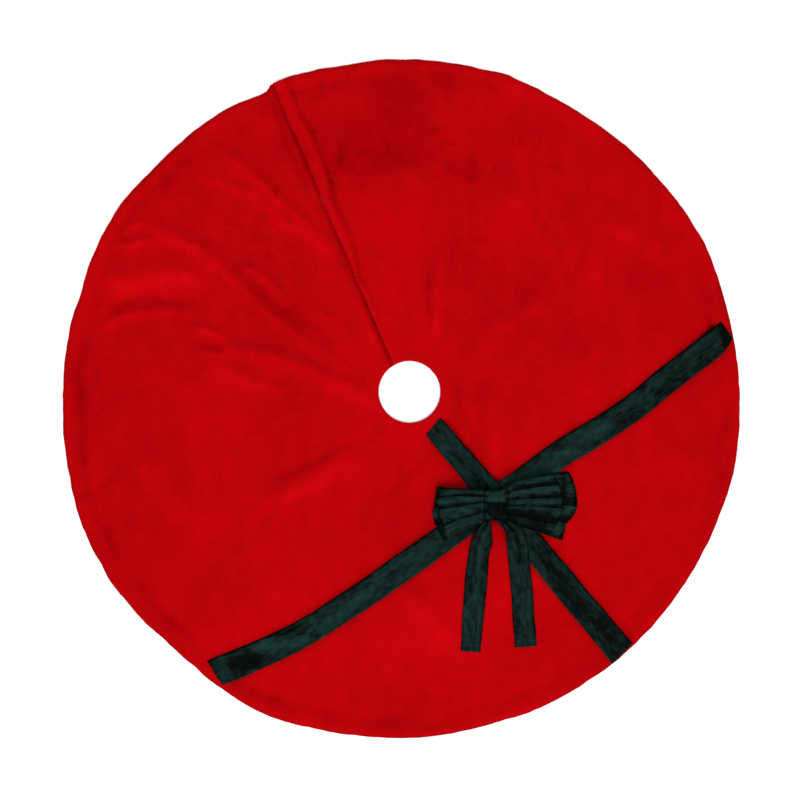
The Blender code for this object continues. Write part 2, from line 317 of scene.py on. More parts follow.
def cloth_shell(name: str, grid: Array, thick: float, material: bpy.types.Material, metres: Array,
                nap_and_shade: Array | None = None, wrap: bool = False) -> bpy.types.Object:
    """Closed sheet of cloth from the grid of its outer face.

    The inner face is the grid set back along its normals by the thickness, and the edges are
    rounded by one row that stands out by half the thickness.

    Args:
        name: name of the piece.
        grid: outer face, rows by columns by 3. The cross product of a step down the rows and a
            step along a row points outwards.
        thick: thickness of the cloth.
        material: its finish.
        metres: place of each grid point on the flat cloth, rows by columns by 2.
        nap_and_shade: how light the pile lies, with painted light and shade, rows by columns.
        wrap: True where the last row joins the first.

    Returns:
        The object.
    """
    rows, cols = grid.shape[:2]
    inner = grid - grid_normals(grid, wrap) * thick
    index = np.arange(rows * cols).reshape(rows, cols)
    if wrap:
        loops = [(index[::-1, 0], index[::-1, 1]), (index[:, -1], index[:, -2])]
    else:
        edge = np.concatenate([index[0, :-1], index[:-1, -1], index[-1, :0:-1], index[:0:-1, 0]])
        near = np.concatenate([index[1, :-1], index[:-1, -2], index[-2, :0:-1], index[:0:-1, 1]])
        loops = [(edge, near)]
    flat_outer, flat_inner = grid.reshape(-1, 3), inner.reshape(-1, 3)
    points, maps = [flat_outer, flat_inner], [metres.reshape(-1, 2)] * 2
    lay_and_shade = np.full((rows, cols), 0.5) if nap_and_shade is None else nap_and_shade
    naps_and_shades = [lay_and_shade.ravel()] * 2
    faces = grid_faces(rows, cols, wrap=wrap) + grid_faces(rows, cols, rows * cols, True, wrap)
    count = 2 * rows * cols
    for edge, near in loops:
        out = flat_outer[edge] - flat_outer[near]
        out /= np.maximum(np.linalg.norm(out, axis=1, keepdims=True), TINY)
        points.append((flat_outer[edge] + flat_inner[edge]) / 2.0 + out * thick * 0.5)
        maps.append(metres.reshape(-1, 2)[edge])
        naps_and_shades.append(lay_and_shade.ravel()[edge])
        middle = np.arange(len(edge)) + count
        count += len(edge)
        faces += edge_walls(edge, middle, edge + rows * cols)
    return make_piece(name, np.vstack(points), faces, material, np.vstack(maps), np.concatenate(naps_and_shades))


def declare(piece: bpy.types.Object, node: str, body: Body | None) -> None:
    """Hides the solid that a piece stands for, and puts the piece on the body it rides on.

    Args:
        piece: the piece.
        node: the solid.
        body: the body, or None, which leaves the piece on no body.
    """
    if body is not None:
        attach(piece, body.value)
    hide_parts(node)


def laid_cloth(name: str, top: Array, bottom: Array, material: bpy.types.Material,
               nap_and_shade: Array | None = None) -> bpy.types.Object:
    """Closed cloth between an upper and a lower grid that meet in their first and last rows.

    The underside keeps every second row, and each end column is closed by a strip of small faces.

    Args:
        name: name of the piece.
        top: upper face, rows by columns by 3, with an odd number of rows and its normal upwards.
        bottom: lower face at the same rows and columns.
        material: its finish.
        nap_and_shade: how light the pile lies, with painted light and shade, rows by columns.

    Returns:
        The object.
    """
    rows, cols = top.shape[:2]
    under = np.arange(rows - 3, 0, -2)
    ring = np.concatenate([top, bottom[under]])
    lay_and_shade = np.full((rows, cols), 0.5) if nap_and_shade is None else nap_and_shade
    lay_and_shade = np.concatenate([lay_and_shade, lay_and_shade[under]])
    faces = grid_faces(len(ring), cols, wrap=True)
    low = np.empty(rows, dtype=int)
    low[[0, rows - 1]] = [0, rows - 1]
    low[under] = rows + np.arange(len(under))
    for side, column in ((-1, 0), (1, cols - 1)):
        for row in range(0, rows - 2, 2):
            rim = [row, row + 1, row + 2, low[row + 2], low[row]]
            rim = list(dict.fromkeys(int(r) * cols + column for r in rim))
            faces.append(rim[::side])
    return make_piece(name, ring.reshape(-1, 3), faces, material, ring.reshape(-1, 3)[:, :2], lay_and_shade.ravel())


# ---- plan of the skirt ----------------------------------------------------------------------
@dataclass(frozen=True)
class Plan:
    """Plan of the laid-out skirt: its rim, its trunk hole and its lapped slit.

    Attributes:
        radius: mean radius of the rim.
        hole_radius: radius of the trunk hole.
        hole: centre of the trunk hole.
        slit_angle: direction of the slit from the hole, in degrees.
        lap: how far each side passes the slit line.
        fold_line: how far from the slit line the opened side folds back.
        seam_hole: where the folding strip starts at the hole, across from the slit line.
        seam_rim: where the folding strip starts at the rim.
        step_angle: angle at which the rim steps in past the slit, in degrees.
        step_in: how far it steps in.
        pulls: angle and spread in degrees, and how far the rim is pulled out there.
    """

    radius: float = 0.610
    hole_radius: float = 0.0552
    hole: tuple[float, float] = (0.0163, 0.0131)
    slit_angle: float = 113.1
    lap: float = 0.011
    fold_line: float = 0.045
    seam_hole: float = 0.054
    seam_rim: float = 0.070
    step_angle: float = 112.75
    step_in: float = 0.0065
    pulls: tuple[tuple[float, float, float], ...] = (
        (12.0, 6.0, -0.0015), (28.0, 8.0, 0.004), (58.0, 6.0, -0.002), (72.0, 3.0, 0.004),
        (84.0, 9.0, 0.0015), (99.0, 2.5, -0.002), (108.5, 4.0, 0.003), (116.5, 2.5, -0.003),
        (121.0, 3.5, -0.002), (134.0, 7.0, -0.003), (147.0, 5.0, 0.003), (162.0, 3.0, -0.004),
        (178.0, 12.0, -0.003), (204.0, 11.0, 0.0055), (213.0, 2.5, 0.003), (228.0, 6.0, -0.005),
        (247.0, 8.0, 0.0065), (285.0, 6.0, -0.0035), (300.0, 30.0, -0.001), (348.0, 8.0, 0.003))

    @property
    def along(self) -> Array:
        """Unit vector from the hole along the slit."""
        angle = math.radians(self.slit_angle)
        return np.array([math.cos(angle), math.sin(angle)])

    @property
    def across(self) -> Array:
        """Unit vector across the slit, towards the side that laps over."""
        return np.array([self.along[1], -self.along[0]])

    def point(self, out: Array | float, across: Array | float) -> Array:
        """Plan point at a distance out from the hole's centre and across from the slit line."""
        out, across = np.asarray(out)[..., None], np.asarray(across)[..., None]
        return np.asarray(self.hole) + out * self.along + across * self.across

    def place(self, x: Array, y: Array) -> tuple[Array, Array]:
        """Distance out from the hole's centre along the slit, and across from the slit line."""
        dx, dy = np.asarray(x) - self.hole[0], np.asarray(y) - self.hole[1]
        return dx * self.along[0] + dy * self.along[1], dx * self.across[0] + dy * self.across[1]

    def rim(self, angle: Array) -> Array:
        """Radius of the rim: the mean, less a trace, plus a bell curve for each pull.

        Past the slit the rim steps in, and comes back over the next few degrees. Two noises along
        it make the small waves of a sewn edge.

        Args:
            angle: direction from the middle, in radians.

        Returns:
            The radius in each direction.
        """
        reach = np.full_like(np.asarray(angle, dtype=float), self.radius - 0.0005)
        for middle, spread, amount in self.pulls:
            turn = (np.degrees(angle) - middle + 180.0) % 360.0 - 180.0
            reach = reach + amount * bell(turn / spread)
        past = np.degrees(angle) % 360.0 - self.step_angle
        reach = reach - self.step_in * ease(past / 0.45) * bell(np.maximum(past - 0.5, 0.0) / 3.6)
        turn = np.asarray(angle) * self.radius
        reach = reach + 0.0008 * line_noise(turn, 0.021, 5)
        return reach + 0.0005 * line_noise(turn, 0.009, 6)

    def rim_point(self, angle: Array) -> Array:
        """Plan point of the rim at an angle."""
        return self.rim(angle)[..., None] * np.stack([np.cos(angle), np.sin(angle)], axis=-1)

    def slit_rim_point(self, across: Array) -> Array:
        """Plan point of the rim on a line at a distance across from the slit line.

        The line meets the mean circle where a quadratic says, and the point is then moved along
        its radius to the true rim.

        Args:
            across: distances from the slit line.

        Returns:
            The points.
        """
        hole = np.asarray(self.hole)
        part = hole @ self.along
        rest = hole @ hole + across ** 2 + 2.0 * across * (hole @ self.across) - self.radius ** 2
        spot = self.point(-part + np.sqrt(part ** 2 - rest), across)
        return self.rim_point(np.arctan2(spot[..., 1], spot[..., 0]))

    def slit_hole_point(self, across: Array) -> Array:
        """Plan point of the hole's edge at a distance across from the slit line."""
        return self.point(np.sqrt(self.hole_radius ** 2 - across ** 2), across)

    def from_rim(self, x: Array, y: Array) -> Array:
        """Distance inwards from the rim, along the radius."""
        return np.maximum(self.rim(np.arctan2(y, x)) - np.hypot(x, y), 0.0)

    def from_hole(self, x: Array, y: Array) -> Array:
        """Distance outwards from the edge of the hole."""
        return np.maximum(np.hypot(x - self.hole[0], y - self.hole[1]) - self.hole_radius, 0.0)


@dataclass(frozen=True)
class Fold:
    """Ridge or furrow that a laid cloth keeps from its packing.

    Attributes:
        route: plan points along its crest.
        height: height of the crest, negative for a furrow.
        width: half the width of the fold.
        lean: from -1 to 1, how much steeper its left side is than its right.
        fade: share of its run over which each end dies away.
    """

    route: tuple[tuple[float, float], ...]
    height: float
    width: float
    lean: float = 0.0
    fade: float = 0.3

    def raise_at(self, points: Array) -> Array:
        """Height of the fold: a bell curve of the distance to its crest, dying away at its ends.

        Args:
            points: plan points, n by 2.

        Returns:
            The height at each point, worked out only where the bell curve is more than a trace.
        """
        line = curve_through(self.route, 60 * (len(self.route) - 1))
        reach = 3.2 * self.width
        close = np.flatnonzero(((points > line.min(axis=0) - reach)
                                & (points < line.max(axis=0) + reach)).all(axis=1))
        rise = np.zeros(len(points))
        if len(close):
            apart, side, share = nearest(points[close], line)
            spread = self.width * (1.0 - self.lean * side)
            ends = ease(share / self.fade) * ease((1.0 - share) / self.fade)
            rise[close] = self.height * bell(apart / spread) * ends
        return rise


@dataclass(frozen=True)
class Patch:
    """Brushed patch where the pile lies lighter or darker.

    Attributes:
        centre: plan place of its middle.
        size: half its length and half its width.
        turn: direction of its length, in degrees.
        amount: how much lighter it is, negative for darker.
    """

    centre: tuple[float, float]
    size: tuple[float, float]
    turn: float
    amount: float

    def shade(self, x: Array, y: Array) -> Array:
        """How much lighter the pile lies: a bell curve over an oval, its edge broken up by noise.

        Args:
            x, y: plan coordinates.

        Returns:
            The change at each point.
        """
        angle = math.radians(self.turn)
        dx, dy = x - self.centre[0], y - self.centre[1]
        long = (dx * math.cos(angle) + dy * math.sin(angle)) / self.size[0]
        wide = (dy * math.cos(angle) - dx * math.sin(angle)) / self.size[1]
        ragged = 1.0 + 0.55 * smooth_noise(x, y, 0.022, 71) + 0.35 * smooth_noise(x, y, 0.009, 72)
        return self.amount * bell(np.hypot(long, wide) * ragged)


@dataclass(frozen=True)
class Drape:
    """How the cloth lies on the floor.

    Attributes:
        plan: plan of the skirt.
        folds: ridges and furrows of the whole cloth.
        creases: furrows pressed into the pile only.
        backing: thickness of the backing and the air under the pile.
        pile: thickness of the plush.
        crushed: thickness of the plush where the lap presses it.
        lap_rise: how far the upper side of the lap stands over the floor.
        fold_gain: how much higher the folds stand than their own heights.
    """

    plan: Plan
    folds: tuple[Fold, ...]
    creases: tuple[Fold, ...]
    backing: float = 0.0009
    pile: float = 0.0035
    crushed: float = 0.0019
    lap_rise: float = 0.0055
    fold_gain: float = 1.5

    def lift(self, x: Array, y: Array) -> Array:
        """Height of the cloth's underside: slow swells plus the folds, and never below the floor.

        Half the sum of the height and the root of its square plus a trace keeps it above zero.

        Args:
            x, y: plan coordinates.

        Returns:
            The height at each point.
        """
        points = plan_points(x, y)
        swell = 0.0016 + 0.0014 * smooth_noise(x, y, 0.15, 3) + 0.0009 * smooth_noise(x, y, 0.062, 4)
        total = swell.ravel()
        for fold in self.folds:
            total = total + self.fold_gain * fold.raise_at(points)
        total = total + self.rucks(x, y).ravel()
        total = 0.5 * (total + np.sqrt(total ** 2 + 0.0006 ** 2))
        edges = ease(self.plan.from_rim(x, y) / 0.030) * 0.75 + 0.25
        return total.reshape(x.shape) * edges

    def rucks(self, x: Array, y: Array) -> Array:
        """Small folds that run towards the hole, most where the cloth was pushed up left of the slit.

        Noise in turn and distance about the hole is folded at zero, which leaves sharp crests.

        Args:
            x, y: plan coordinates.

        Returns:
            The extra height at each point.
        """
        dx, dy = x - self.plan.hole[0], y - self.plan.hole[1]
        far, turn = np.hypot(dx, dy), np.arctan2(dy, dx)
        bend = 0.10 * smooth_noise(x, y, 0.12, 17)
        crest = 1.0 - np.abs(smooth_noise((turn + bend) * 0.55, far, 0.105, 18))
        strong = bell(np.hypot((x + 0.24) / 0.22, (y - 0.24) / 0.20))
        weak = 0.30 * bell(np.hypot((x - 0.05) / 0.22, (y - 0.15) / 0.30))
        weak = weak + 0.22 * bell(np.hypot((x + 0.20) / 0.25, (y + 0.10) / 0.22))
        return 0.0030 * (crest ** 3 - 0.3) * np.minimum(strong + weak, 1.0)

    def relief(self, x: Array, y: Array) -> Array:
        """Shape of the pile itself.

        A rolled bead runs inside the rim with a valley behind it, short puckers cross the valley,
        a smaller bead runs round the hole, and soft lumps cover the rest.

        Args:
            x, y: plan coordinates.

        Returns:
            The height over the cloth's own face at each point.
        """
        rim, hole = self.plan.from_rim(x, y), self.plan.from_hole(x, y)
        turn = np.arctan2(y, x) * self.plan.radius
        vary = 1.0 + 0.45 * line_noise(turn, 0.07, 11)
        bead = 0.0017 * band(rim, 0.010, 0.007) - 0.0011 * band(rim, 0.034, 0.012)
        pucker = 0.0008 * smooth_noise(turn + 0.4 * rim, rim, 0.017, 12) * band(rim, 0.030, 0.024)
        ring = 0.0010 * band(hole, 0.007, 0.005) - 0.0005 * band(hole, 0.022, 0.009)
        bend = 0.6 * smooth_noise(x, y, 0.09, 15)
        lumps = 0.0009 * smooth_noise(x + 0.03 * bend, y, 0.030, 13)
        lumps = lumps + 0.00042 * smooth_noise(x * 0.8 + 0.02 * bend, y * 1.4 + 0.02 * bend, 0.0125, 14)
        total = (bead * vary * 1.3 + pucker * 1.4 + ring).ravel()
        points = plan_points(x, y)
        for crease in self.creases:
            total = total + crease.raise_at(points)
        return total.reshape(x.shape) + lumps * ease(np.minimum(rim, hole) / 0.012)

    def lap(self, x: Array, y: Array) -> Array:
        """Extra height of the side that laps over: full at the slit, none past the fold line.

        Its free edge curls up a little, most near the hole, and further out a soft roll and a
        furrow run beside it.

        Args:
            x, y: plan coordinates.

        Returns:
            The extra height at each point.
        """
        out, across = self.plan.place(x, y)
        rise = self.lap_rise * fade(across, 0.014, 0.026)
        near_hole = fade(out, self.plan.hole_radius, 0.150)
        curl = (0.0008 + 0.0030 * near_hole) * band(across, -self.plan.lap, 0.010)
        outer = ease((out - 0.24) / 0.10)
        wave = 1.0 + 0.5 * line_noise(out, 0.06, 9)
        roll = 0.0030 * outer * wave * band(across, 0.001, 0.0075)
        furrow = -0.0016 * outer * band(across, -0.0035, 0.0026)
        return np.where((across < 0.060) & (out > 0.0), rise + curl + roll + furrow, 0.0)

    def top(self, x: Array, y: Array) -> Array:
        """Height of the plush away from its edges."""
        return self.lift(x, y) + self.backing + self.pile + self.relief(x, y)


@dataclass
class PlushSkirt:
    """The plush face and its backing, each in two pieces: the cloth, and the strip that folds back.

    Attributes:
        drape: how the cloth lies.
        plush: finish of the face.
        lining: finish of the backing.
        patches: brushed patches of the pile.
        shaded_ribbons: routes and half widths of the ribbons, along whose edges shade is painted on the pile.
        columns: columns of the main face.
        rows: rows of the faces, an odd number.
        inset: how far the backing stops short of the face's edges.
        air: gap between the backing and the face.
        hem_radius: radius of the turned edge at rim and hole.
        side_radius: radius of the turned edge along the slit.
        edge_steps: distances of the first columns from a free edge.
        hole_steps: distances of the first rows from the hole.
        rim_steps: distances of the last rows from the rim.
        pieces: the pieces made.
    """

    drape: Drape
    plush: bpy.types.Material
    lining: bpy.types.Material
    patches: tuple[Patch, ...]
    shaded_ribbons: tuple[tuple[Array, float], ...]
    columns: int = 590
    rows: int = 99
    inset: float = 0.006
    air: float = 0.0003
    hem_radius: float = 0.0045
    side_radius: float = 0.0050
    edge_steps: tuple[float, ...] = (0.0, 0.0005, 0.0013, 0.0025, 0.0040, 0.0060, 0.0085, 0.0115)
    hole_steps: tuple[float, ...] = (0.0, 0.0004, 0.0012, 0.0025, 0.0045, 0.0075, 0.0115, 0.0165, 0.022)
    rim_steps: tuple[float, ...] = (
        0.0, 0.0004, 0.0012, 0.0025, 0.0045, 0.007, 0.010, 0.014, 0.018, 0.023, 0.028, 0.034, 0.040)
    pieces: list[bpy.types.Object] = field(default_factory=list)

    def lines(self, strip: bool, count: int) -> tuple[Array, Array, Array]:
        """Straight columns of the cloth, counter-clockwise.

        Those by the slit run along it. Round the rest, hole and rim are each shared out evenly.

        Args:
            strip: True for the strip that folds back, False for the rest.
            count: number of even columns.

        Returns:
            The hole points, the rim points, and each column's distance from its free edge.
        """
        plan, first, last = self.drape.plan, 0.015, 0.056
        if strip:
            reach = np.concatenate([self.edge_steps, np.linspace(first, STRIP_WIDTH, count)])
            share = reach[::-1] / STRIP_WIDTH
            hole = plan.slit_hole_point(-plan.lap + share * (plan.seam_hole + plan.lap))
            rim = plan.slit_rim_point(-plan.lap + share * (plan.seam_rim + plan.lap))
            return hole, rim, share * STRIP_WIDTH
        reach = np.concatenate([self.edge_steps, np.linspace(first, last, 9)])
        hole, rim = plan.slit_hole_point(plan.lap - reach), plan.slit_rim_point(plan.lap - reach)
        centre = np.asarray(plan.hole)
        seam = plan.slit_hole_point(np.array(plan.seam_hole)), plan.slit_rim_point(np.array(plan.seam_rim))
        share = np.linspace(0.0, 1.0, count + 1)[1:]
        turn = self.sweep(hole[-1] - centre, seam[0] - centre, share)
        round_hole = centre + plan.hole_radius * np.stack([np.cos(turn), np.sin(turn)], axis=1)
        round_rim = plan.rim_point(self.sweep(rim[-1], seam[1], share))
        edge = np.concatenate([reach, np.full(count, 1.0)])
        return np.vstack([hole, round_hole]), np.vstack([rim, round_rim]), edge

    @staticmethod
    def sweep(first: Array, last: Array, share: Array) -> Array:
        """Angles counter-clockwise from one direction to another."""
        start, end = math.atan2(first[1], first[0]), math.atan2(last[1], last[0])
        return start + share * ((end - start) % (2.0 * math.pi))

    def grid(self, strip: bool, count: int, rows: int, inset: float) -> tuple[Array, Array, Array]:
        """Plan points of the cloth: rows from the hole to the rim, crowded at both.

        Args:
            strip: True for the strip that folds back.
            count: number of even columns.
            rows: number of rows.
            inset: how far the cloth stops short of hole and rim.

        Returns:
            x and y, each rows by columns, and each column's distance from its free edge.
        """
        hole, rim, edge = self.lines(strip, count)
        near, far = np.array(self.hole_steps), np.array(self.rim_steps)
        full = np.linalg.norm(rim - hole, axis=1) - 2.0 * inset
        middle = np.linspace(0.0, 1.0, rows - len(near) - len(far) + 2)[1:-1, None]
        inner = near[-1] + middle * (full - near[-1] - far[-1])[None, :]
        run = np.vstack([near[:, None] + 0.0 * full, inner, full - far[::-1, None]]) + inset
        step = (rim - hole) / np.linalg.norm(rim - hole, axis=1)[:, None]
        spot = hole[None] + run[..., None] * step[None]
        if strip:
            give = self.give(run) * fade(edge, 0.0, 0.040)[None, :]
            spot = spot + give[..., None] * self.drape.plan.across
        return spot[..., 0], spot[..., 1], edge

    @staticmethod
    def give(run: Array) -> Array:
        """How far the free edge of the lap draws back: most at the hole, with small wanders."""
        wander = 0.0013 * line_noise(run, 0.045, 7) + 0.0007 * line_noise(run, 0.016, 8)
        return 0.0030 + wander * ease(run / 0.02) + 0.0010 * fade(run, 0.0, 0.150)

    def face(self, name: str, strip: bool, count: int) -> bpy.types.Object:
        """Plush: pile on both sides of a middle height, rounded where it is turned in at its edges.

        Args:
            name: name of the piece.
            strip: True for the strip that folds back.
            count: number of even columns.

        Returns:
            The piece.
        """
        drape, plan = self.drape, self.drape.plan
        x, y, edge = self.grid(strip, count, self.rows, 0.0)
        brim = np.minimum(plan.from_rim(x, y), plan.from_hole(x, y))
        brim[[0, -1]] = 0.0
        full = turned(brim, self.hem_radius) * np.maximum(turned(edge, self.side_radius), 0.15)[None, :]
        base, above = drape.lift(x, y), drape.relief(x, y)
        half = np.full(x.shape, drape.pile / 2.0)
        if strip:
            base = base + drape.lap(x, y)
        else:
            out = plan.place(x, y)[0]
            trench = 0.006 * fade(out, plan.hole_radius, 0.150)
            pressed = fade(edge[None, :] - trench, 0.0215, 0.006)
            half = half - pressed * (drape.pile - drape.crushed) / 2.0
            above = above * (1.0 - pressed)
        middle = base + drape.backing + half
        top = np.stack([x, y, middle + (half + above) * full], axis=-1)
        bottom = np.stack([x, y, middle - half * full], axis=-1)
        bottom[[0, -1]] = top[[0, -1]]
        lay_and_shade = self.nap_and_shade(x, y) + self.slit_shade(x, y, edge, strip)
        return laid_cloth(name, top, bottom, self.plush, lay_and_shade)

    def slit_shade(self, x: Array, y: Array, edge: Array, strip: bool) -> Array:
        """Painted shade beside the slit, along the lap's edge and each hem, and a painted highlight on the
        roll.

        Args:
            x, y: plan coordinates, rows by columns.
            edge: each column's distance from its free edge.
            strip: True for the strip that folds back.

        Returns:
            The painted light and shade at each point.
        """
        plan = self.drape.plan
        out, across = plan.place(x, y)
        near_hole = fade(out - plan.hole_radius, 0.06, 0.16)
        far, wavy = ease((out - 0.10) / 0.35), 0.0030 * line_noise(out, 0.045, 26)
        if strip:
            # Strip: a painted highlight on its roll, painted shade along its hem, and a dark painted line at
            # its free edge.
            hem = across + plan.lap - 0.009 - 0.021 * far - 2.0 * wavy
            line = (0.22 - 0.12 * near_hole) * fade(edge, 0.0, 0.0030)[None, :]
            return 0.16 * band(hem, -0.012, 0.008) - 0.42 * ease(far * 3.0) * bell(hem / 0.0055) - line
        # Main cloth: a dark painted line where the lap's edge shades it, darkest near the hole, and painted
        # shade along its hem.
        hem = across + plan.lap + 0.008 + 0.006 * far + wavy
        line = (0.46 + 0.22 * near_hole) * band(across + plan.lap, 0.001, 0.0042)
        return -(line + 0.30 * ease(far * 3.0) * bell(hem / 0.0060)) * (out > 0.0)

    def nap_and_shade(self, x: Array, y: Array) -> Array:
        """Lie of the pile: noise of three sizes, with painted light and shade from the cloth's shape and
        ribbons.

        The brushed patches shift it and small rucks left of the slit mottle it. Painted shade runs in a
        valley inside the rim, darker in patches, and along the rim's edge; ridges have a painted highlight on
        one side and painted shade on the other, and bell curves paint shade in the creases and along each
        ribbon's edges.

        Args:
            x, y: plan coordinates.

        Returns:
            The lie at each point: 0 dark, 1 light, below 0 in painted shade.
        """
        lay_and_shade = 0.5 + 0.16 * smooth_noise(x, y, 0.11, 21) + 0.10 * smooth_noise(x * 1.6, y * 0.8, 0.035, 22)
        lay_and_shade = lay_and_shade + 0.07 * smooth_noise(x, y, 0.013, 23)
        for patch in self.patches:
            lay_and_shade = lay_and_shade + patch.shade(x, y)
        rucked = bell(np.hypot((x + 0.34) / 0.26, (y - 0.25) / 0.22))
        lay_and_shade = lay_and_shade + 0.11 * rucked * smooth_noise(x * 0.8 + y * 0.5, y * 0.8 - x * 0.5, 0.0095, 35)
        lay_and_shade = lay_and_shade - 0.26 * rucked * np.maximum(smooth_noise(x, y, 0.017, 36) - 0.25, 0.0)
        # Painted shade along a valley inside the rim, stronger on the left, and along the rim's turned edge.
        rim = self.drape.plan.from_rim(x, y)
        turn = np.arctan2(y, x) * self.drape.plan.radius
        vary = 0.55 + 0.75 * line_noise(turn, 0.075, 31) - 0.25 * x / self.drape.plan.radius
        valley = rim - 0.029 - 0.006 * line_noise(turn, 0.05, 32)
        lay_and_shade = lay_and_shade - 0.20 * np.maximum(vary, 0.0) * bell(valley / 0.0085) - 0.30 * bell(rim / TURN_RADIUS)
        # Darker painted shade in patches along that valley.
        valley_shade_spots = np.maximum(smooth_noise(turn + 0.4 * rim, rim, 0.019, 33) - 0.35, 0.0)
        lay_and_shade = lay_and_shade - 0.34 * valley_shade_spots * band(rim, 0.034, 0.022)
        points = plan_points(x, y)
        # Painted light and shade on each fold: a highlight on the flank towards the light and shade on the
        # far flank.
        for fold in self.drape.folds:
            crest = fold.raise_at(points - np.array([0.10, -0.45]) * fold.width * 1.1) / fold.height
            shaded_flank = fold.raise_at(points + np.array([0.35, -0.95]) * fold.width * 1.5) / fold.height
            lay_and_shade = lay_and_shade - 0.10 * shaded_flank.reshape(x.shape)
            lay_and_shade = lay_and_shade + 0.19 * crest.reshape(x.shape) * (1.0 + 0.5 * smooth_noise(x, y, 0.010, 24))
        # Painted shade in the creases.
        for crease in self.drape.creases:
            lay_and_shade = lay_and_shade - 0.20 * (crease.raise_at(points) / crease.height).reshape(x.shape)
        # Painted shade along both edges of each ribbon, darker on its left side.
        for route, half in self.shaded_ribbons:
            found = nearest(points, curve_through(route, 300))
            apart, left, share = (value.reshape(x.shape) for value in found)
            beside = band(apart - half, -0.0010, 0.0084) * ((share > 0.01) & (share < 0.99))
            lay_and_shade = lay_and_shade - (0.52 + 0.12 * left) * beside
        return lay_and_shade

    def backing(self, name: str, strip: bool, count: int, rows: int) -> bpy.types.Object:
        """Backing: a thin sheet under the face.

        Args:
            name: name of the piece.
            strip: True for the strip that folds back.
            count: number of even columns.
            rows: number of rows.

        Returns:
            The piece.
        """
        drape, plan = self.drape, self.drape.plan
        x, y, edge = self.grid(strip, count, rows, self.inset)
        by_edge = fade(edge, 0.0, 0.030)[None, :]
        slide = self.inset * by_edge
        if strip:
            out = plan.place(x, y)[0]
            slide = slide - (self.inset - 0.0008) * by_edge * fade(out - plan.hole_radius, 0.05, 0.10)
        shift = plan.across if strip else -plan.across
        x, y = x + slide * shift[0], y + slide * shift[1]
        base = drape.lift(x, y) + (drape.lap(x, y) if strip else 0.0)
        thick = drape.backing - self.air
        half = np.full(x.shape, thick / 2.0)
        half[[0, -1]] = 0.0
        middle = base + thick / 2.0
        top = np.stack([x, y, middle + half], axis=-1)
        bottom = np.stack([x, y, middle - half], axis=-1)
        return laid_cloth(name, top, bottom, self.lining)

    def build(self) -> None:
        """Makes the four pieces and hides the solids they stand for."""
        plan, drape, out = self.drape.plan, self.drape, 0.32
        seam = (*plan.point(out, plan.seam_hole), drape.pile)
        hinge = (*plan.point(out, 2.0 * plan.fold_line - plan.seam_hole + 0.002), drape.pile)
        face = self.face("skirt_plush", False, self.columns)
        flap = self.face("skirt_plush_flap", True, 12)
        back = self.backing("skirt_backing", False, 300, 61)
        under = self.backing("skirt_backing_flap", True, 8, 61)
        self.pieces = [face, flap, back, under]
        declare(face, "face", Body.SKIRT)
        declare(back, "lining", Body.SKIRT)
        for piece in (flap, under):
            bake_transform(piece)
        declare(flap, "slit_flap_face", None)
        declare(under, "slit_flap_lining", None)


@dataclass
class ClosurePads:
    """Hook and loop patches that hold the lap shut.

    Attributes:
        drape: how the cloth lies.
        loop: finish of the loop patches.
        hook: finish of the hook patches.
        length: length of a patch, along the slit.
        width: width of a patch.
        thick: thickness of a patch.
        loop_height: height of a loop patch over the cloth's underside.
        hook_height: height of a hook patch over the cloth's underside.
        corner: radius of its corners.
        pieces: the pieces made.
    """

    drape: Drape
    loop: bpy.types.Material
    hook: bpy.types.Material
    length: float = 0.030
    width: float = 0.017
    thick: float = 0.0009
    loop_height: float = 0.0031
    hook_height: float = 0.0043
    corner: float = 0.002
    pieces: list[bpy.types.Object] = field(default_factory=list)

    def patch(self, name: str, node: str, material: bpy.types.Material, height: float) -> bpy.types.Object:
        """One patch: an oblong with rounded corners, a stitched groove inside its border and a fuzzy face.

        Args:
            name: name of the piece.
            node: the solid it stands for.
            material: its finish.
            height: height of its underside over the cloth's underside.

        Returns:
            The piece.
        """
        low, high = (np.array(corner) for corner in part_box(node))
        middle = (low + high) / 2.0
        u, v = np.meshgrid(np.linspace(-1.0, 1.0, 61), np.linspace(-1.0, 1.0, 37), indexing="ij")
        half = self.length / 2.0, self.width / 2.0
        along, over = u * half[0], v * half[1]
        inward = np.minimum(half[0] - np.abs(along), half[1] - np.abs(over))
        past = [np.maximum(np.abs(way) - end + self.corner, 0.0) for way, end in zip((along, over), half)]
        cut = 0.7 * np.maximum(np.hypot(*past) - self.corner, 0.0)
        along, over = along - np.sign(along) * cut, over - np.sign(over) * cut
        plan = self.drape.plan
        x = middle[0] + along * plan.along[0] + over * plan.across[0]
        y = middle[1] + along * plan.along[1] + over * plan.across[1]
        base = self.drape.lift(np.full((1, 1), middle[0]), np.full((1, 1), middle[1]))[0, 0] + height
        groove = 0.00022 * band(inward, 0.0018, 0.0005)
        fuzz = 0.00010 * smooth_noise(along, over, 0.0011, 31)
        top = np.stack([x, y, base + self.thick - groove + fuzz], axis=-1)[:, ::-1]
        metres = np.stack([along, over], axis=-1)[:, ::-1]
        return cloth_shell(name, top, self.thick * 0.9, material, metres)

    def build(self) -> None:
        """Makes three loop patches on the lower side and three hook patches on the upper side."""
        kinds = (("loop", self.loop, self.loop_height, Body.SKIRT, Slot.LOOP, "skirt_plush"),
                 ("hook", self.hook, self.hook_height, Body.FLAP, Slot.HOOK, "skirt_backing_flap"))
        for number in (1, 2, 3):
            for kind, material, height, body, slot, rests in kinds:
                node = f"{kind}_pad_{number}"
                piece = self.patch(f"{kind}_patch_{number}", node, material, height)
                declare(piece, node, body)
                self.pieces.append(piece)


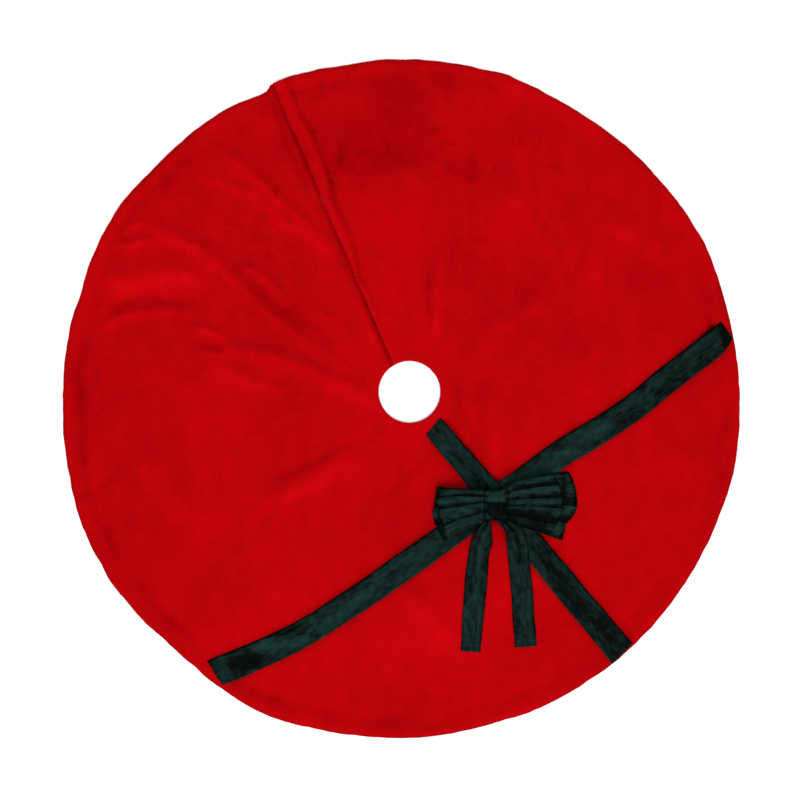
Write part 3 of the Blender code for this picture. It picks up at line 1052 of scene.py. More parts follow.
# ---- velvet ---------------------------------------------------------------------------------
@dataclass(frozen=True)
class Streak:
    """Stroke where the velvet's pile is pressed lighter or darker, or where a fold is painted lit or shaded.

    Attributes:
        start: share of the ribbon's run and place across it, -1 to 1, where the stroke starts.
        end: the same where it ends.
        width: half its width, in the across unit.
        shade: how much lighter, negative for darker; on a fold, painted light and in a furrow painted shade.
        rise: height of the fold there, negative for a furrow.
    """

    start: tuple[float, float]
    end: tuple[float, float]
    width: float
    shade: float
    rise: float = 0.0

    def weight(self, share: Array, across: Array, aspect: float) -> Array:
        """Bell curve of the distance to the stroke.

        Args:
            share: share of the ribbon's run at each point.
            across: place across the ribbon, -1 to 1.
            aspect: length of the ribbon over half its width, which scales the run.

        Returns:
            The weight of the stroke at each point.
        """
        first = np.array([self.start[0] * aspect, self.start[1]])
        step = np.array([self.end[0] * aspect, self.end[1]]) - first
        dx, dy = share * aspect - first[0], across - first[1]
        along = np.clip((dx * step[0] + dy * step[1]) / max(step @ step, 1e-9), 0.0, 1.0)
        apart = np.hypot(dx - along * step[0], dy - along * step[1])
        return bell(apart / self.width)


@dataclass(frozen=True)
class Ribbon:
    """A velvet ribbon with turned-in edges, laid along a smooth route on the plush.

    Attributes:
        name: name of the piece.
        node: the solid it stands for.
        route: plan points of its middle line.
        width: its width, at its start and at its end.
        slants: how far the start and the end are cut on the skew: the left edge is longer.
        height: least gap under it.
        crown: how much its middle stands over its edges.
        thick: thickness of its cloth.
        streaks: pressed and folded strokes.
        seed: picks its small waves.
        trim: how much is cut off the start and the end of the route.
        nip: share by which the right half narrows at the very end.
        mottle: strength of the uneven lie of its pile.
    """

    name: str
    node: str
    route: Array
    width: tuple[float, float]
    slants: tuple[float, float] = (0.0, 0.0)
    height: float = 0.0006
    crown: float = 0.0013
    thick: float = RIBBON_THICK
    streaks: tuple[Streak, ...] = ()
    seed: int = 40
    trim: tuple[float, float] = (0.0, 0.0)
    nip: float = 0.0
    mottle: float = 1.0

    def grid(self, ground: "Ground", spacing: float = 0.004, across: int = 19) -> tuple[Array, Array, Array]:
        """Upper face of the ribbon.

        Its middle line is swept sideways. Its height over the ground is a quarter circle in from
        each edge, with small waves and the folds of its streaks, and its edges wander a little.

        Args:
            ground: what it lies on.
            spacing: step along the ribbon.
            across: points across it.

        Returns:
            The grid, the metres along and across, and how light the pile lies, with painted light and shade.
        """
        whole = curve_through(self.route, 600)
        along = run_along(whole)
        even = np.linspace(self.trim[0], along[-1] - self.trim[1], int(along[-1] / spacing) + 2)
        line = np.stack([np.interp(even, along, whole[:, 0]), np.interp(even, along, whole[:, 1])], axis=1)
        length = run_along(line)[-1]
        run = run_along(line)[:, None]
        left = sideways(line)
        ahead = np.stack([left[:, 1], -left[:, 0]], axis=1)
        even_steps = np.linspace(-1.0, 1.0, across)[None, :]
        q = 0.55 * np.sin(even_steps * math.pi / 2.0) + 0.45 * even_steps
        share = run / length
        wide = self.width[0] + (self.width[1] - self.width[0]) * share
        wander = 0.0011 * smooth_noise(run + 0.0 * q, np.sign(q) + 0.0 * run, 0.045, self.seed) * q ** 2
        side = q * wide / 2.0 + wander * np.sign(q)
        nipped, bend = 0.034, 0.05
        side = side * (1.0 - self.nip * np.clip((run - length + nipped) / nipped, 0.0, 1.0) * (q < 0.0))
        ends = self.slants[1] * ease(1.0 - (length - run) / bend) + self.slants[0] * ease(1.0 - run / bend)
        spot = line[:, None] + side[..., None] * left[:, None] + (q * ends)[..., None] * ahead[:, None]
        x, y = spot[..., 0], spot[..., 1]
        brim = np.minimum((1.0 - np.abs(q)) * wide / 2.0, np.minimum(run, length - run) + 0.0006)
        waves = 0.00055 * smooth_noise(run / 2.2, side, 0.010, self.seed + 1)
        waves = waves + 0.00030 * smooth_noise(run, side, 0.0065, self.seed + 2)
        rise = self.height + self.thick + self.crown * turned(brim, TURN_RADIUS)
        lay_and_shade = 0.38 + 0.29 * self.mottle * smooth_noise(run / 2.8, side, 0.017, self.seed + 3)
        lay_and_shade = lay_and_shade + 0.16 * self.mottle * smooth_noise(run / 1.5, side, 0.0075, self.seed + 4)
        aspect = 2.0 * length / float(np.mean(self.width))
        # Streaks shift the pile's tone; where they fold the cloth the shift is painted light or painted
        # shade.
        for streak in self.streaks:
            weight = streak.weight(share + 0.0 * q, q + 0.0 * share, aspect)
            rise = rise + streak.rise * weight
            lay_and_shade = lay_and_shade + streak.shade * weight
        inside = ease(brim / 0.005)
        z = ground.height(x, y) + rise + (waves + 0.0004) * inside
        # Painted highlight along the right edge and painted shade along the left edge.
        lay_and_shade = lay_and_shade + 0.22 * bell((1.0 + q) * wide / 0.0030) - 0.55 * bell((1.0 - q) * wide / 0.0052)
        lay_and_shade = lay_and_shade - 0.24 * self.mottle * bell(smooth_noise(run / 2.0, side, 0.0105, self.seed + 6) / 0.20)
        metres = np.stack(np.broadcast_arrays(run, side), axis=-1)
        return np.stack([x, y, z], axis=-1), metres, lay_and_shade

    def flat(self) -> tuple[float, float]:
        """Cut size of the ribbon: mean width and length."""
        return float(np.mean(self.width)), float(run_along(curve_through(self.route, 60))[-1])


@dataclass
class Ground:
    """Height of what a ribbon lies on: the plush, and any ribbons already laid.

    Attributes:
        drape: how the plush lies.
        laid: routes and half widths of ribbons already laid, with the height that each adds.
    """

    drape: Drape
    laid: list[tuple[Array, float, float]] = field(default_factory=list)

    def height(self, x: Array, y: Array) -> Array:
        """Height of the plush, raised by a soft step over each ribbon already laid.

        Args:
            x, y: plan coordinates.

        Returns:
            The height at each point.
        """
        total = self.drape.top(x, y)
        points = plan_points(x, y)
        for route, half, added in self.laid:
            apart = nearest(points, curve_through(route, 300))[0].reshape(x.shape)
            total = total + added * fade(apart, half, 0.012)
        return total


@dataclass(frozen=True)
class Loop:
    """One gathered loop of the bow.

    Attributes:
        name: name of the piece.
        side: which way it reaches.
        upper: height in plan of its upper edge over the knot's middle, from knot to tip.
        lower: the same for its lower edge.
        reach: how far it reaches from the knot's middle, from its lower edge to its upper edge.
        levels: height of its underside and of its crown.
        edges: across the loop, -1 to 1, where each pleat's edge runs at the knot and at the tip.
        depth: depth of a pleat.
        steps: how far each band between pleats stands out at the tip.
        seed: picks its small waves.
        shade: strength of the painted shade over its lower part.
        droop: how far its tip hangs down.
        tuck: how far from the knot the loop in front of it ends, where its shadow is painted, or 0.
        ring: the loop seen from its side, as far out and up in shares, from the top round the tip.
    """

    name: str
    side: Side
    upper: tuple[float, ...]
    lower: tuple[float, ...]
    reach: tuple[float, ...]
    levels: tuple[float, float]
    edges: tuple[tuple[float, float], ...]
    depth: float
    steps: tuple[float, ...]
    seed: int
    shade: float = 0.0
    droop: float = 0.0
    tuck: float = 0.0
    ring: tuple[tuple[float, float], ...] = (
        (0.05, 0.06), (0.15, 0.16), (0.24, 0.55), (0.40, 0.88), (0.66, 1.0), (0.88, 0.86), (0.975, 0.48),
        (1.0, 0.0), (0.975, -0.48), (0.88, -0.82), (0.66, -0.93), (0.40, -0.78), (0.24, -0.45),
        (0.15, -0.14), (0.05, -0.05))

    def pleats(self, out: Array, q: Array) -> tuple[Array, Array, Array]:
        """Pleats across the loop: each rises slowly and drops at its edge, as a pressed pleat does.

        Args:
            out: share of the way out from the knot, as a column.
            q: place across the loop, -1 to 1, as a row.

        Returns:
            The rise of the pleats, the step of each band at the tip, and the painted highlight on their
            edges.
        """
        pleat, band_step, pleat_edge_highlight = (0.0 * (q + out) for _ in range(3))
        marks = [(-1.02, -1.02), *self.edges, (1.02, 1.02)]
        for (low_knot, low_tip), (high_knot, high_tip), step in zip(marks[:-1], marks[1:], self.steps):
            low = low_knot + (low_tip - low_knot) * out
            high = high_knot + (high_tip - high_knot) * out
            sway = 0.05 * smooth_noise(out * 3.0, np.full_like(out, low_tip * 9.0), 1.0, self.seed + 5)
            part = np.clip((q - low - sway) / (high - low), 0.0, 1.0)
            inside = ((q >= low + sway) & (q < high + sway)).astype(float)
            puff = np.sin(np.pi * part ** 1.25) ** 0.8
            pleat_edge_highlight = pleat_edge_highlight + inside * band(part, 0.86, 0.035) * ease((out - 0.15) / 0.2)
            pleat = pleat + inside * (0.55 * puff + 0.45 * part * fade(part, 0.84, 0.16))
            band_step = band_step + inside * step * np.sin(np.pi * part) ** 0.5
        return pleat, band_step, pleat_edge_highlight

    def grid(self, middle: Array, over: int = 60, across: int = 81) -> tuple[Array, Array, Array]:
        """Outer face of the loop.

        Seen from its side the loop is a long flat ring: out along the top, round the tip and back
        underneath. Its pleats stand out on both faces, and the bands between them end in steps at
        the tip. Painted light lies on the pleats and their edges and painted shade between them,
        with cloudy noise over it; more painted shade falls on its lower part and round its ends.

        Args:
            middle: plan place of the knot's middle.
            over: points round the loop.
            across: points across it.

        Returns:
            The grid, the metres along and across, and how light the pile lies, with painted light and shade.
        """
        ring = curve_through(self.ring, over)
        out, up = ring[:, :1], ring[:, 1:]
        q = np.linspace(-1.0, 1.0, across)[None, :]
        above = ease(up * 1.5 + 0.5)
        pleat, band_step, pleat_edge_highlight = self.pleats(out, q)
        stations = np.linspace(0.0, 1.0, len(self.upper))
        top_edge, low_edge = np.interp(out, stations, self.upper), np.interp(out, stations, self.lower)
        reach = np.interp((q + 1.0) / 2.0, np.linspace(0.0, 1.0, len(self.reach)), self.reach)
        reach = reach + band_step * ease((out - 0.4) / 0.6)
        x = self.side.value * out * reach
        y = (top_edge + low_edge) / 2.0 + q * (top_edge - low_edge) / 2.0
        base, crown = (self.levels[0] + self.levels[1]) / 2.0, (self.levels[1] - self.levels[0]) / 2.0
        sag = 1.0 - 0.30 * np.abs(q) ** 3
        grow = ease((out - 0.06) / 0.40) * 0.80 + 0.20
        waves = 0.0009 * smooth_noise(out * reach / 2.6, y, 0.0085, self.seed)
        waves = waves + 0.0011 * smooth_noise(out * 2.2, q * 7.0, 1.0, self.seed + 7) * fade(out, 0.2, 0.7)
        relief = (self.depth * (pleat - 0.45) * grow + waves) * (2.0 * above - 1.0)
        z = base - self.droop * ease(out) + up * crown * 0.86 * sag + relief
        grid = np.stack([middle[0] + x, middle[1] + y, z], axis=-1)
        # Painted highlight on the pleats and painted shade between them, with tone noise.
        lay_and_shade = 0.25 + 0.90 * (pleat - 0.45) + 0.22 * smooth_noise(out * reach / 2.4, y, 0.011, self.seed + 1)
        # Painted shade over the lower part of the loop.
        lay_and_shade = lay_and_shade - self.shade * ease((-q - 0.05) / 0.35) * ease((1.02 - out) / 0.2)
        # Fine tone noise, and a painted highlight along the pleat edges.
        lay_and_shade = lay_and_shade + 0.12 * smooth_noise(out * reach, y, 0.005, self.seed + 2) + 0.70 * pleat_edge_highlight
        # Painted shade under the tip, and a painted shade line where the loop goes in under the knot.
        lay_and_shade = lay_and_shade - 0.50 * ease((out - 0.955) / 0.035) - 0.45 * band(out * reach, 0.0200, 0.0024)
        lay_and_shade = lay_and_shade + 0.34 * bell(smooth_noise(out * reach / 4.5, y, 0.0080, self.seed + 9) / 0.085)
        lay_and_shade = lay_and_shade - 0.34 * bell(smooth_noise(out * reach / 4.0, y, 0.0095, self.seed + 10) / 0.15)
        # Painted shadow of the loop in front.
        if self.tuck:
            lay_and_shade = lay_and_shade - 0.60 * band(out * reach, self.tuck, 0.0055)
        metres = np.stack([run_along(ring)[:, None] * reach, y], axis=-1)
        if self.side is Side.LEFT:
            grid, metres, lay_and_shade = grid[:, ::-1], metres[:, ::-1], lay_and_shade[:, ::-1]
        return grid, metres, lay_and_shade


@dataclass
class VelvetTrim:
    """Ribbons, bow, knot and tails.

    Attributes:
        ground: what the ribbons lie on.
        velvet: finish of all of them.
        middle: plan place of the knot's middle.
        left_route: plan points of the left tail's middle line.
        right_route: the same for the right tail.
        join: share of the long ribbon's run at which its two lengths are joined.
        radial_angle: direction in which the other ribbon leaves the hole, in degrees.
        shade_halves: half widths of the long ribbon and the other one, along which shade is painted on the
            plush.
        laid_halves: half width over which each raises what is laid over it.
        pieces: the pieces made.
    """

    ground: Ground
    velvet: bpy.types.Material
    middle: tuple[float, float] = (0.17019, -0.19276)
    left_route: tuple[tuple[float, float], ...] = (
        (0.157, -0.2195), (0.1495, -0.237), (0.146, -0.256), (0.141, -0.274), (0.1345, -0.338),
        (0.126, -0.452))
    right_route: tuple[tuple[float, float], ...] = (
        (0.1875, -0.2210), (0.2025, -0.237), (0.2080, -0.256), (0.2130, -0.292), (0.2185, -0.350),
        (0.2245, -0.4435))
    join: float = 0.182
    radial_angle: float = -56.4
    shade_halves: tuple[float, float] = (0.0240, 0.0224)
    laid_halves: tuple[float, float] = (0.024, 0.023)
    pieces: list[bpy.types.Object] = field(default_factory=list)

    def dress(self, piece: bpy.types.Object, node: str, body: Body) -> None:
        """Hides the solid a velvet piece stands for, puts it on its body, and keeps it."""
        declare(piece, node, body)
        self.pieces.append(piece)

    def cross(self) -> Array:
        """Plan points of the long ribbon's middle line."""
        return self.ground.drape.plan.radius * np.array([
            (-0.546, -0.804), (-0.438, -0.761), (-0.251, -0.669), (0.031, -0.479), (0.280, -0.300),
            (0.464, -0.167), (0.664, -0.041), (0.787, 0.057), (0.9652, 0.1965)])

    def radial(self) -> Array:
        """Plan points of the middle line of the ribbon that runs out from the hole."""
        plan, angle = self.ground.drape.plan, math.radians(self.radial_angle)
        shift, gap = np.array([0.0018, 0.0]), 0.0190
        away = (plan.hole_radius + gap) * np.array([math.cos(angle), math.sin(angle)])
        rest = plan.radius * np.array([(0.280, -0.297), (0.492, -0.556), (0.654, -0.748)])
        return np.vstack([np.asarray(plan.hole) + shift + away, rest])

    def shaded_ribbon_routes(self) -> tuple[tuple[Array, float], ...]:
        """Routes and half widths of the ribbons along which shade is painted on the plush."""
        return (self.cross(), self.shade_halves[0]), (self.radial(), self.shade_halves[1])

    def ribbons(self) -> None:
        """Lays the long ribbon in its two lengths, and the one from the hole over it."""
        cross, radial, points = self.cross(), self.radial(), 200
        whole = curve_through(cross, points)
        join = int(self.join * (points - 1))
        short = Ribbon("ribbon_cross_short", "cross_ribbon_short", whole[:join + 1], (0.0510, 0.0485),
                       (-0.0052, 0.0), streaks=SHORT_STREAKS, seed=41, trim=(0.0, 0.00055))
        long = Ribbon("ribbon_cross_long", "cross_ribbon_long", whole[join:], (0.0485, 0.0485), (0.0, 0.0005),
                      streaks=LONG_STREAKS, seed=47, trim=(0.00055, 0.0), nip=0.44, mottle=0.55)
        down = Ribbon("ribbon_radial", "radial_ribbon", radial, (0.0420, 0.0520), (-0.0035, -0.002),
                      crown=0.0012, streaks=RADIAL_STREAKS, seed=53, mottle=0.75)
        for ribbon in (short, long, down):
            if ribbon is down:
                self.ground.laid.append((cross, self.laid_halves[0], LAID_RISE))
            grid, metres, lay_and_shade = ribbon.grid(self.ground)
            piece = cloth_shell(ribbon.name, grid, ribbon.thick, self.velvet, metres, lay_and_shade)
            self.dress(piece, ribbon.node, Body.SKIRT)
            ribbon.flat()
        self.ground.laid.append((radial, self.laid_halves[1], LAID_RISE))

    def loops(self) -> None:
        """Makes the two back loops and the two front loops."""
        low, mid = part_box("bow_back")[0][2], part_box("bow_front")[0][2]
        under, over = (low, mid - 0.0075), (mid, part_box("bow_front")[1][2])
        loops = (
            Loop("bow_back_left", Side.LEFT, (0.025, 0.029, 0.032, 0.034, 0.036),
                 (-0.023, -0.030, -0.040, -0.052, -0.060), (0.094, 0.106, 0.110, 0.108, 0.104), under,
                 ((-0.35, -0.40), (0.30, 0.25)), 0.0020, (0.0, 0.003, 0.001), 61, tuck=0.100),
            Loop("bow_back_right", Side.RIGHT, (0.025, 0.040, 0.052, 0.059, 0.063),
                 (-0.022, -0.030, -0.040, -0.050, -0.060),
                 (0.120, 0.124, 0.128, 0.140, 0.146, 0.144, 0.141, 0.137, 0.130), under,
                 ((-0.40, -0.45), (0.10, 0.05)), 0.0022, (0.0, 0.002, 0.003), 64, tuck=0.121),
            Loop("bow_front_left", Side.LEFT, (0.026, 0.030, 0.032, 0.033, 0.0335),
                 (-0.021, -0.026, -0.037, -0.050, -0.060), (0.088, 0.096, 0.101, 0.103, 0.100), over,
                 ((-0.30, -0.36), (0.30, 0.26), (0.68, 0.72)), 0.0062, (0.0, 0.002, 0.0035, 0.0), 67,
                 0.06, 0.0075),
            Loop("bow_front_right", Side.RIGHT, (0.025, 0.042, 0.050, 0.055, 0.0585),
                 (-0.020, -0.026, -0.034, -0.042, -0.050), (0.094, 0.112, 0.120, 0.118, 0.104), over,
                 ((-0.52, -0.62), (-0.14, -0.08), (0.24, 0.28), (0.62, 0.72)), 0.0066,
                 (0.001, 0.002, 0.0, 0.002, 0.0), 70, 0.55, 0.0075))
        for loop in loops:
            grid, metres, lay_and_shade = loop.grid(np.asarray(self.middle))
            piece = cloth_shell(loop.name, grid, RIBBON_THICK, self.velvet, metres, lay_and_shade)
            self.dress(piece, "bow_back" if "back" in loop.name else "bow_front", Body.SKIRT)

    def knot(self) -> None:
        """Band wrapped round the middle of the bow.

        It is an oval ring, squared a little by a small power of the cosine and the sine, with
        gathers that run round it and fade towards its two edges.
        """
        low, high = (np.array(corner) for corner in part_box("bow_knot"))
        turn = np.linspace(0.0, 2.0 * math.pi, 97)[:-1, None]
        q = np.linspace(-1.0, 1.0, 45)[None, :]
        half_y, half_z, middle_z = 0.0270, (high[2] - low[2]) / 2.0, (high[2] + low[2]) / 2.0
        gather = 0.00045 * np.sin(q * 12.0 + 0.8 * np.sin(turn) + 0.6)
        gather = gather + 0.00035 * np.sin(q * 23.0 - np.cos(turn))
        strong = (1.0 - np.abs(q) ** 6) * (0.55 + 0.45 * np.abs(np.cos(turn)))
        swell = gather * strong - 0.0030 * np.abs(q) ** 6
        wide = 0.0185 + 0.0008 * np.cos(2.0 * turn)
        y = 0.0030 + (half_y + swell) * np.cos(turn) * np.abs(np.cos(turn)) ** -0.15
        upward = np.sin(turn) * np.maximum(np.abs(np.sin(turn)), 1e-6) ** -0.15
        z = middle_z + (half_z - 0.0006 + swell) * upward
        x = q * wide + 0.0006 * np.sin(3.0 * turn)
        grid = np.stack(np.broadcast_arrays(self.middle[0] + x, self.middle[1] + y, z), axis=-1)[::-1]
        # Painted light and shade: the top of the band light, the rest dark, and highlights on the gathers.
        lay_and_shade = -0.30 + 1.25 * ease((y - 0.007) / 0.006) + 200.0 * gather * strong
        metres = np.stack(np.broadcast_arrays(turn * 0.024, x), axis=-1)[::-1]
        piece = cloth_shell("bow_knot_band", grid[:, ::-1], 0.0012, self.velvet, metres[:, ::-1],
                            lay_and_shade[::-1, ::-1], wrap=True)
        self.dress(piece, "bow_knot", Body.SKIRT)

    def tail(self, name: str, node: str, body: Body, route: Sequence[Sequence[float]],
             widths: Sequence[float], fold: float, seed: int) -> None:
        """One tail: gathered at the knot, it drops to the plush, widens and lies flat to its end.

        Its middle line is swept sideways. Its height goes from the knot's down to the ground's with
        the smooth step, plus pleats at the knot, one furrow, small waves and a sewn line at its end.

        Args:
            name: name of the piece.
            node: the solid it stands for.
            body: the body it rides on.
            route: plan points of its middle line.
            widths: its width at each of them.
            fold: where its lengthwise furrow starts across it, -1 to 1.
            seed: picks its small waves.
        """
        laid = np.column_stack([np.asarray(route), np.asarray(widths)])
        path = curve_through(laid, 70)
        line, wide = path[:, :2], path[:, 2:]
        run = run_along(line)[:, None]
        left = sideways(line)
        q = np.linspace(-1.0, 1.0, 27)[None, :]
        wander = 0.0009 * smooth_noise(run + 0.0 * q, np.sign(q) + 0.0 * run, 0.035, seed) * q ** 2
        side = q * wide / 2.0 + wander
        spot = line[:, None] + side[..., None] * left[:, None]
        x, y = spot[..., 0], spot[..., 1]
        ground = self.ground.height(x, y) + 0.0019
        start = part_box(node)[1][2] - RIBBON_THICK
        drop = fade(run, 0.0, 0.075)
        gather = band(run, 0.010, 0.050)
        pleats = 0.0018 * np.cos(q * 4.4 + 1.1) * gather + 0.0006 * np.cos(q * 9.0 + 2.0) * gather
        furrow = -0.0022 * band(q, fold, 0.16) * fade(run, 0.04, 0.09)
        waves = 0.0007 * smooth_noise(run / 2.5, side, 0.011, seed + 1) + 0.0009
        crown = 0.0011 * turned((1.0 - np.abs(q)) * wide / 2.0, TURN_RADIUS)
        z = np.maximum(ground + (start - ground) * drop + pleats + furrow + waves + crown, ground)
        hem = band(run[-1] - run, 0.010, 0.0012)
        z = z - 0.0006 * hem
        lay_and_shade = 0.34 + 0.24 * smooth_noise(run / 2.6, side, 0.013, seed + 2)
        lay_and_shade = lay_and_shade + 0.14 * smooth_noise(run, side, 0.006, seed)
        # Painted shade along the furrow, and a lighter sewn line at the end.
        lay_and_shade = lay_and_shade - 0.28 * band(q, fold, 0.22) * fade(run, 0.05, 0.10) + 0.25 * hem
        # Painted highlight across the middle of the tail.
        lay_and_shade = lay_and_shade + 0.20 * band(q, 0.1, 0.35) * band(run, 0.12, 0.07)
        # Painted shade along both edges.
        lay_and_shade = lay_and_shade - 0.35 * bell((1.0 + q) / 0.07) - 0.45 * bell((1.0 - q) / 0.10)
        metres = np.stack(np.broadcast_arrays(run, side), axis=-1)
        piece = cloth_shell(name, np.stack([x, y, z], axis=-1), RIBBON_THICK, self.velvet, metres, lay_and_shade)
        self.dress(piece, node, body)

    def build(self) -> None:
        """Makes every velvet piece."""
        self.ribbons()
        self.loops()
        self.knot()
        self.tail("tail_left_ribbon", "tail_left", Body.LEFT_TAIL, self.left_route,
                  (0.011, 0.028, 0.036, 0.037, 0.0400, 0.0355), -0.35, 81)
        self.tail("tail_right_ribbon", "tail_right", Body.RIGHT_TAIL, self.right_route,
                  (0.012, 0.030, 0.036, 0.0385, 0.0395, 0.0385), 0.10, 87)


# ---- finishes -------------------------------------------------------------------------------
class Graph:
    """Short way to add and join shader nodes."""

    def __init__(self, tree: bpy.types.NodeTree) -> None:
        """Keeps the node tree to fill."""
        self.tree = tree

    def add(self, kind: str, inputs: dict | None = None, **settings: object) -> bpy.types.Node:
        """One node.

        Args:
            kind: the node's type name.
            inputs: value or joined socket for each named or numbered input.
            settings: the node's own settings.

        Returns:
            The node.
        """
        node = self.tree.nodes.new(kind)
        for key, value in settings.items():
            setattr(node, key, value)
        for key, value in (inputs or {}).items():
            socket = node.inputs[key]
            if isinstance(value, bpy.types.NodeSocket):
                self.tree.links.new(value, socket)
            else:
                socket.default_value = value
        return node

    def mix(self, share: object, first: object, second: object) -> bpy.types.NodeSocket:
        """Colour between two, by a share. Inputs 6 and 7 and output 2 are the node's colours."""
        return self.add("ShaderNodeMix", {0: share, 6: first, 7: second}, data_type="RGBA").outputs[2]

    def sums(self, kind: str, first: object, second: object, clamp: bool = False) -> bpy.types.NodeSocket:
        """Result of one sum of two numbers, kept between 0 and 1 where it is clamped."""
        return self.add("ShaderNodeMath", {0: first, 1: second}, operation=kind, use_clamp=clamp).outputs[0]


def stretched_grain() -> bpy.types.NodeTree:
    """Group shared by the cloths: a noise stretched along the cloth, and a finer one over it.

    Returns:
        The group, with Vector, Long, Wide and Fine inputs, and Tone and Height outputs.
    """
    group = bpy.data.node_groups.new("stretched_grain", "ShaderNodeTree")
    group.interface.new_socket("Vector", in_out="INPUT", socket_type="NodeSocketVector")
    for name in ("Long", "Wide", "Fine"):
        group.interface.new_socket(name, in_out="INPUT", socket_type="NodeSocketFloat")
    for name in ("Tone", "Height"):
        group.interface.new_socket(name, in_out="OUTPUT", socket_type="NodeSocketFloat")
    graph = Graph(group)
    come, leave = graph.add("NodeGroupInput"), graph.add("NodeGroupOutput")
    size = graph.add("ShaderNodeCombineXYZ", {0: come.outputs["Long"], 1: come.outputs["Wide"], 2: 1.0})
    scaled = graph.add("ShaderNodeVectorMath", {0: come.outputs["Vector"], 1: size.outputs[0]},
                       operation="MULTIPLY")
    tone = graph.add("ShaderNodeTexNoise", {"Vector": scaled.outputs[0], "Scale": 1.0, "Detail": 3.0,
                                            "Roughness": 0.55, "Distortion": 0.6})
    fine = graph.add("ShaderNodeTexNoise", {"Vector": come.outputs["Vector"], "Scale": come.outputs["Fine"],
                                            "Detail": 2.0, "Roughness": 0.6})
    height = graph.sums("ADD", graph.sums("MULTIPLY", tone.outputs[0], 0.45),
                        graph.sums("MULTIPLY", fine.outputs[0], 0.55))
    wide = graph.add("ShaderNodeMapRange", {0: tone.outputs[0], 1: 0.30, 2: 0.70, 3: 0.0, 4: 1.0})
    group.links.new(wide.outputs[0], leave.inputs["Tone"])
    group.links.new(height, leave.inputs["Height"])
    return group


def cloth_material(name: str, group: bpy.types.NodeTree, grain: tuple[float, float, float],
                   ) -> tuple[bpy.types.Material, Graph, bpy.types.NodeSocket, bpy.types.Node]:
    """Material with the cloth's own map and the shared grain, ready for a finish.

    Args:
        name: name of the material.
        group: the shared grain group.
        grain: grain cells per metre along and across the cloth, and of the fine grain.

    Returns:
        The material, its graph, the map's socket and the grain's node.
    """
    made = bpy.data.materials.new(name)
    made.use_nodes = True
    made.node_tree.nodes.clear()
    graph = Graph(made.node_tree)
    place = graph.add("ShaderNodeUVMap", uv_map="cloth").outputs[0]
    node = graph.add("ShaderNodeGroup", node_tree=group)
    graph.tree.links.new(place, node.inputs["Vector"])
    for key, value in zip(("Long", "Wide", "Fine"), grain):
        node.inputs[key].default_value = value
    return made, graph, place, node


@dataclass(frozen=True)
class PileFinish:
    """Cloth with a pile: plush or velvet.

    Attributes:
        name: name of the material.
        painted_shade_colour: colour of the deepest painted shade, in creases and along the edges of cloth and
            trim.
        dark: colour where the pile lies dark, and where faint shade is painted.
        light: colour where it lies light, and where a highlight is painted.
        grain: grain cells per metre along and across the cloth, and of the fine grain.
        share: how much of the tone comes from the grain.
        bump: height of the grain.
        sheen: weight and roughness of the sheen.
        tint: colour of the sheen.
        rough: roughness of the cloth.
        shine: specular level.
    """

    name: str
    painted_shade_colour: tuple[float, float, float]
    dark: tuple[float, float, float]
    light: tuple[float, float, float]
    grain: tuple[float, float, float]
    share: float
    bump: float
    sheen: tuple[float, float]
    tint: tuple[float, float, float]
    rough: float = 0.9
    shine: float = 0.0

    def material(self, group: bpy.types.NodeTree) -> bpy.types.Material:
        """Colour from the pile's lie, painted light and shade included, and the grain, with the grain's
        height as bump.

        Args:
            group: the shared grain group.

        Returns:
            The material.
        """
        made, graph, _, grain = cloth_material(self.name, group, self.grain)
        # The attribute holds the pile's lie together with painted light and shade.
        nap_and_shade = graph.add("ShaderNodeAttribute", attribute_name="nap_and_shade")
        cells = graph.sums("MULTIPLY", grain.outputs["Tone"], self.share)
        tone = graph.sums("ADD", cells, nap_and_shade.outputs["Fac"])
        tone = graph.sums("SUBTRACT", tone, self.share / 2.0, clamp=True)
        ramp = graph.add("ShaderNodeValToRGB", {"Fac": tone})
        stops = ramp.color_ramp.elements
        stops[0].color, stops[-1].color = (*self.painted_shade_colour, 1.0), (*self.light, 1.0)
        stops.new(DARK_STOP).color = (*self.dark, 1.0)
        bump = graph.add("ShaderNodeBump", {"Height": grain.outputs["Height"], "Distance": self.bump,
                                            "Strength": 1.0})
        shader = graph.add("ShaderNodeBsdfPrincipled", {
            "Base Color": ramp.outputs["Color"], "Roughness": self.rough, "Specular IOR Level": self.shine,
            "Sheen Weight": self.sheen[0], "Sheen Roughness": self.sheen[1], "Sheen Tint": (*self.tint, 1.0),
            "Normal": bump.outputs[0]})
        graph.add("ShaderNodeOutputMaterial", {"Surface": shader.outputs[0]})
        return made


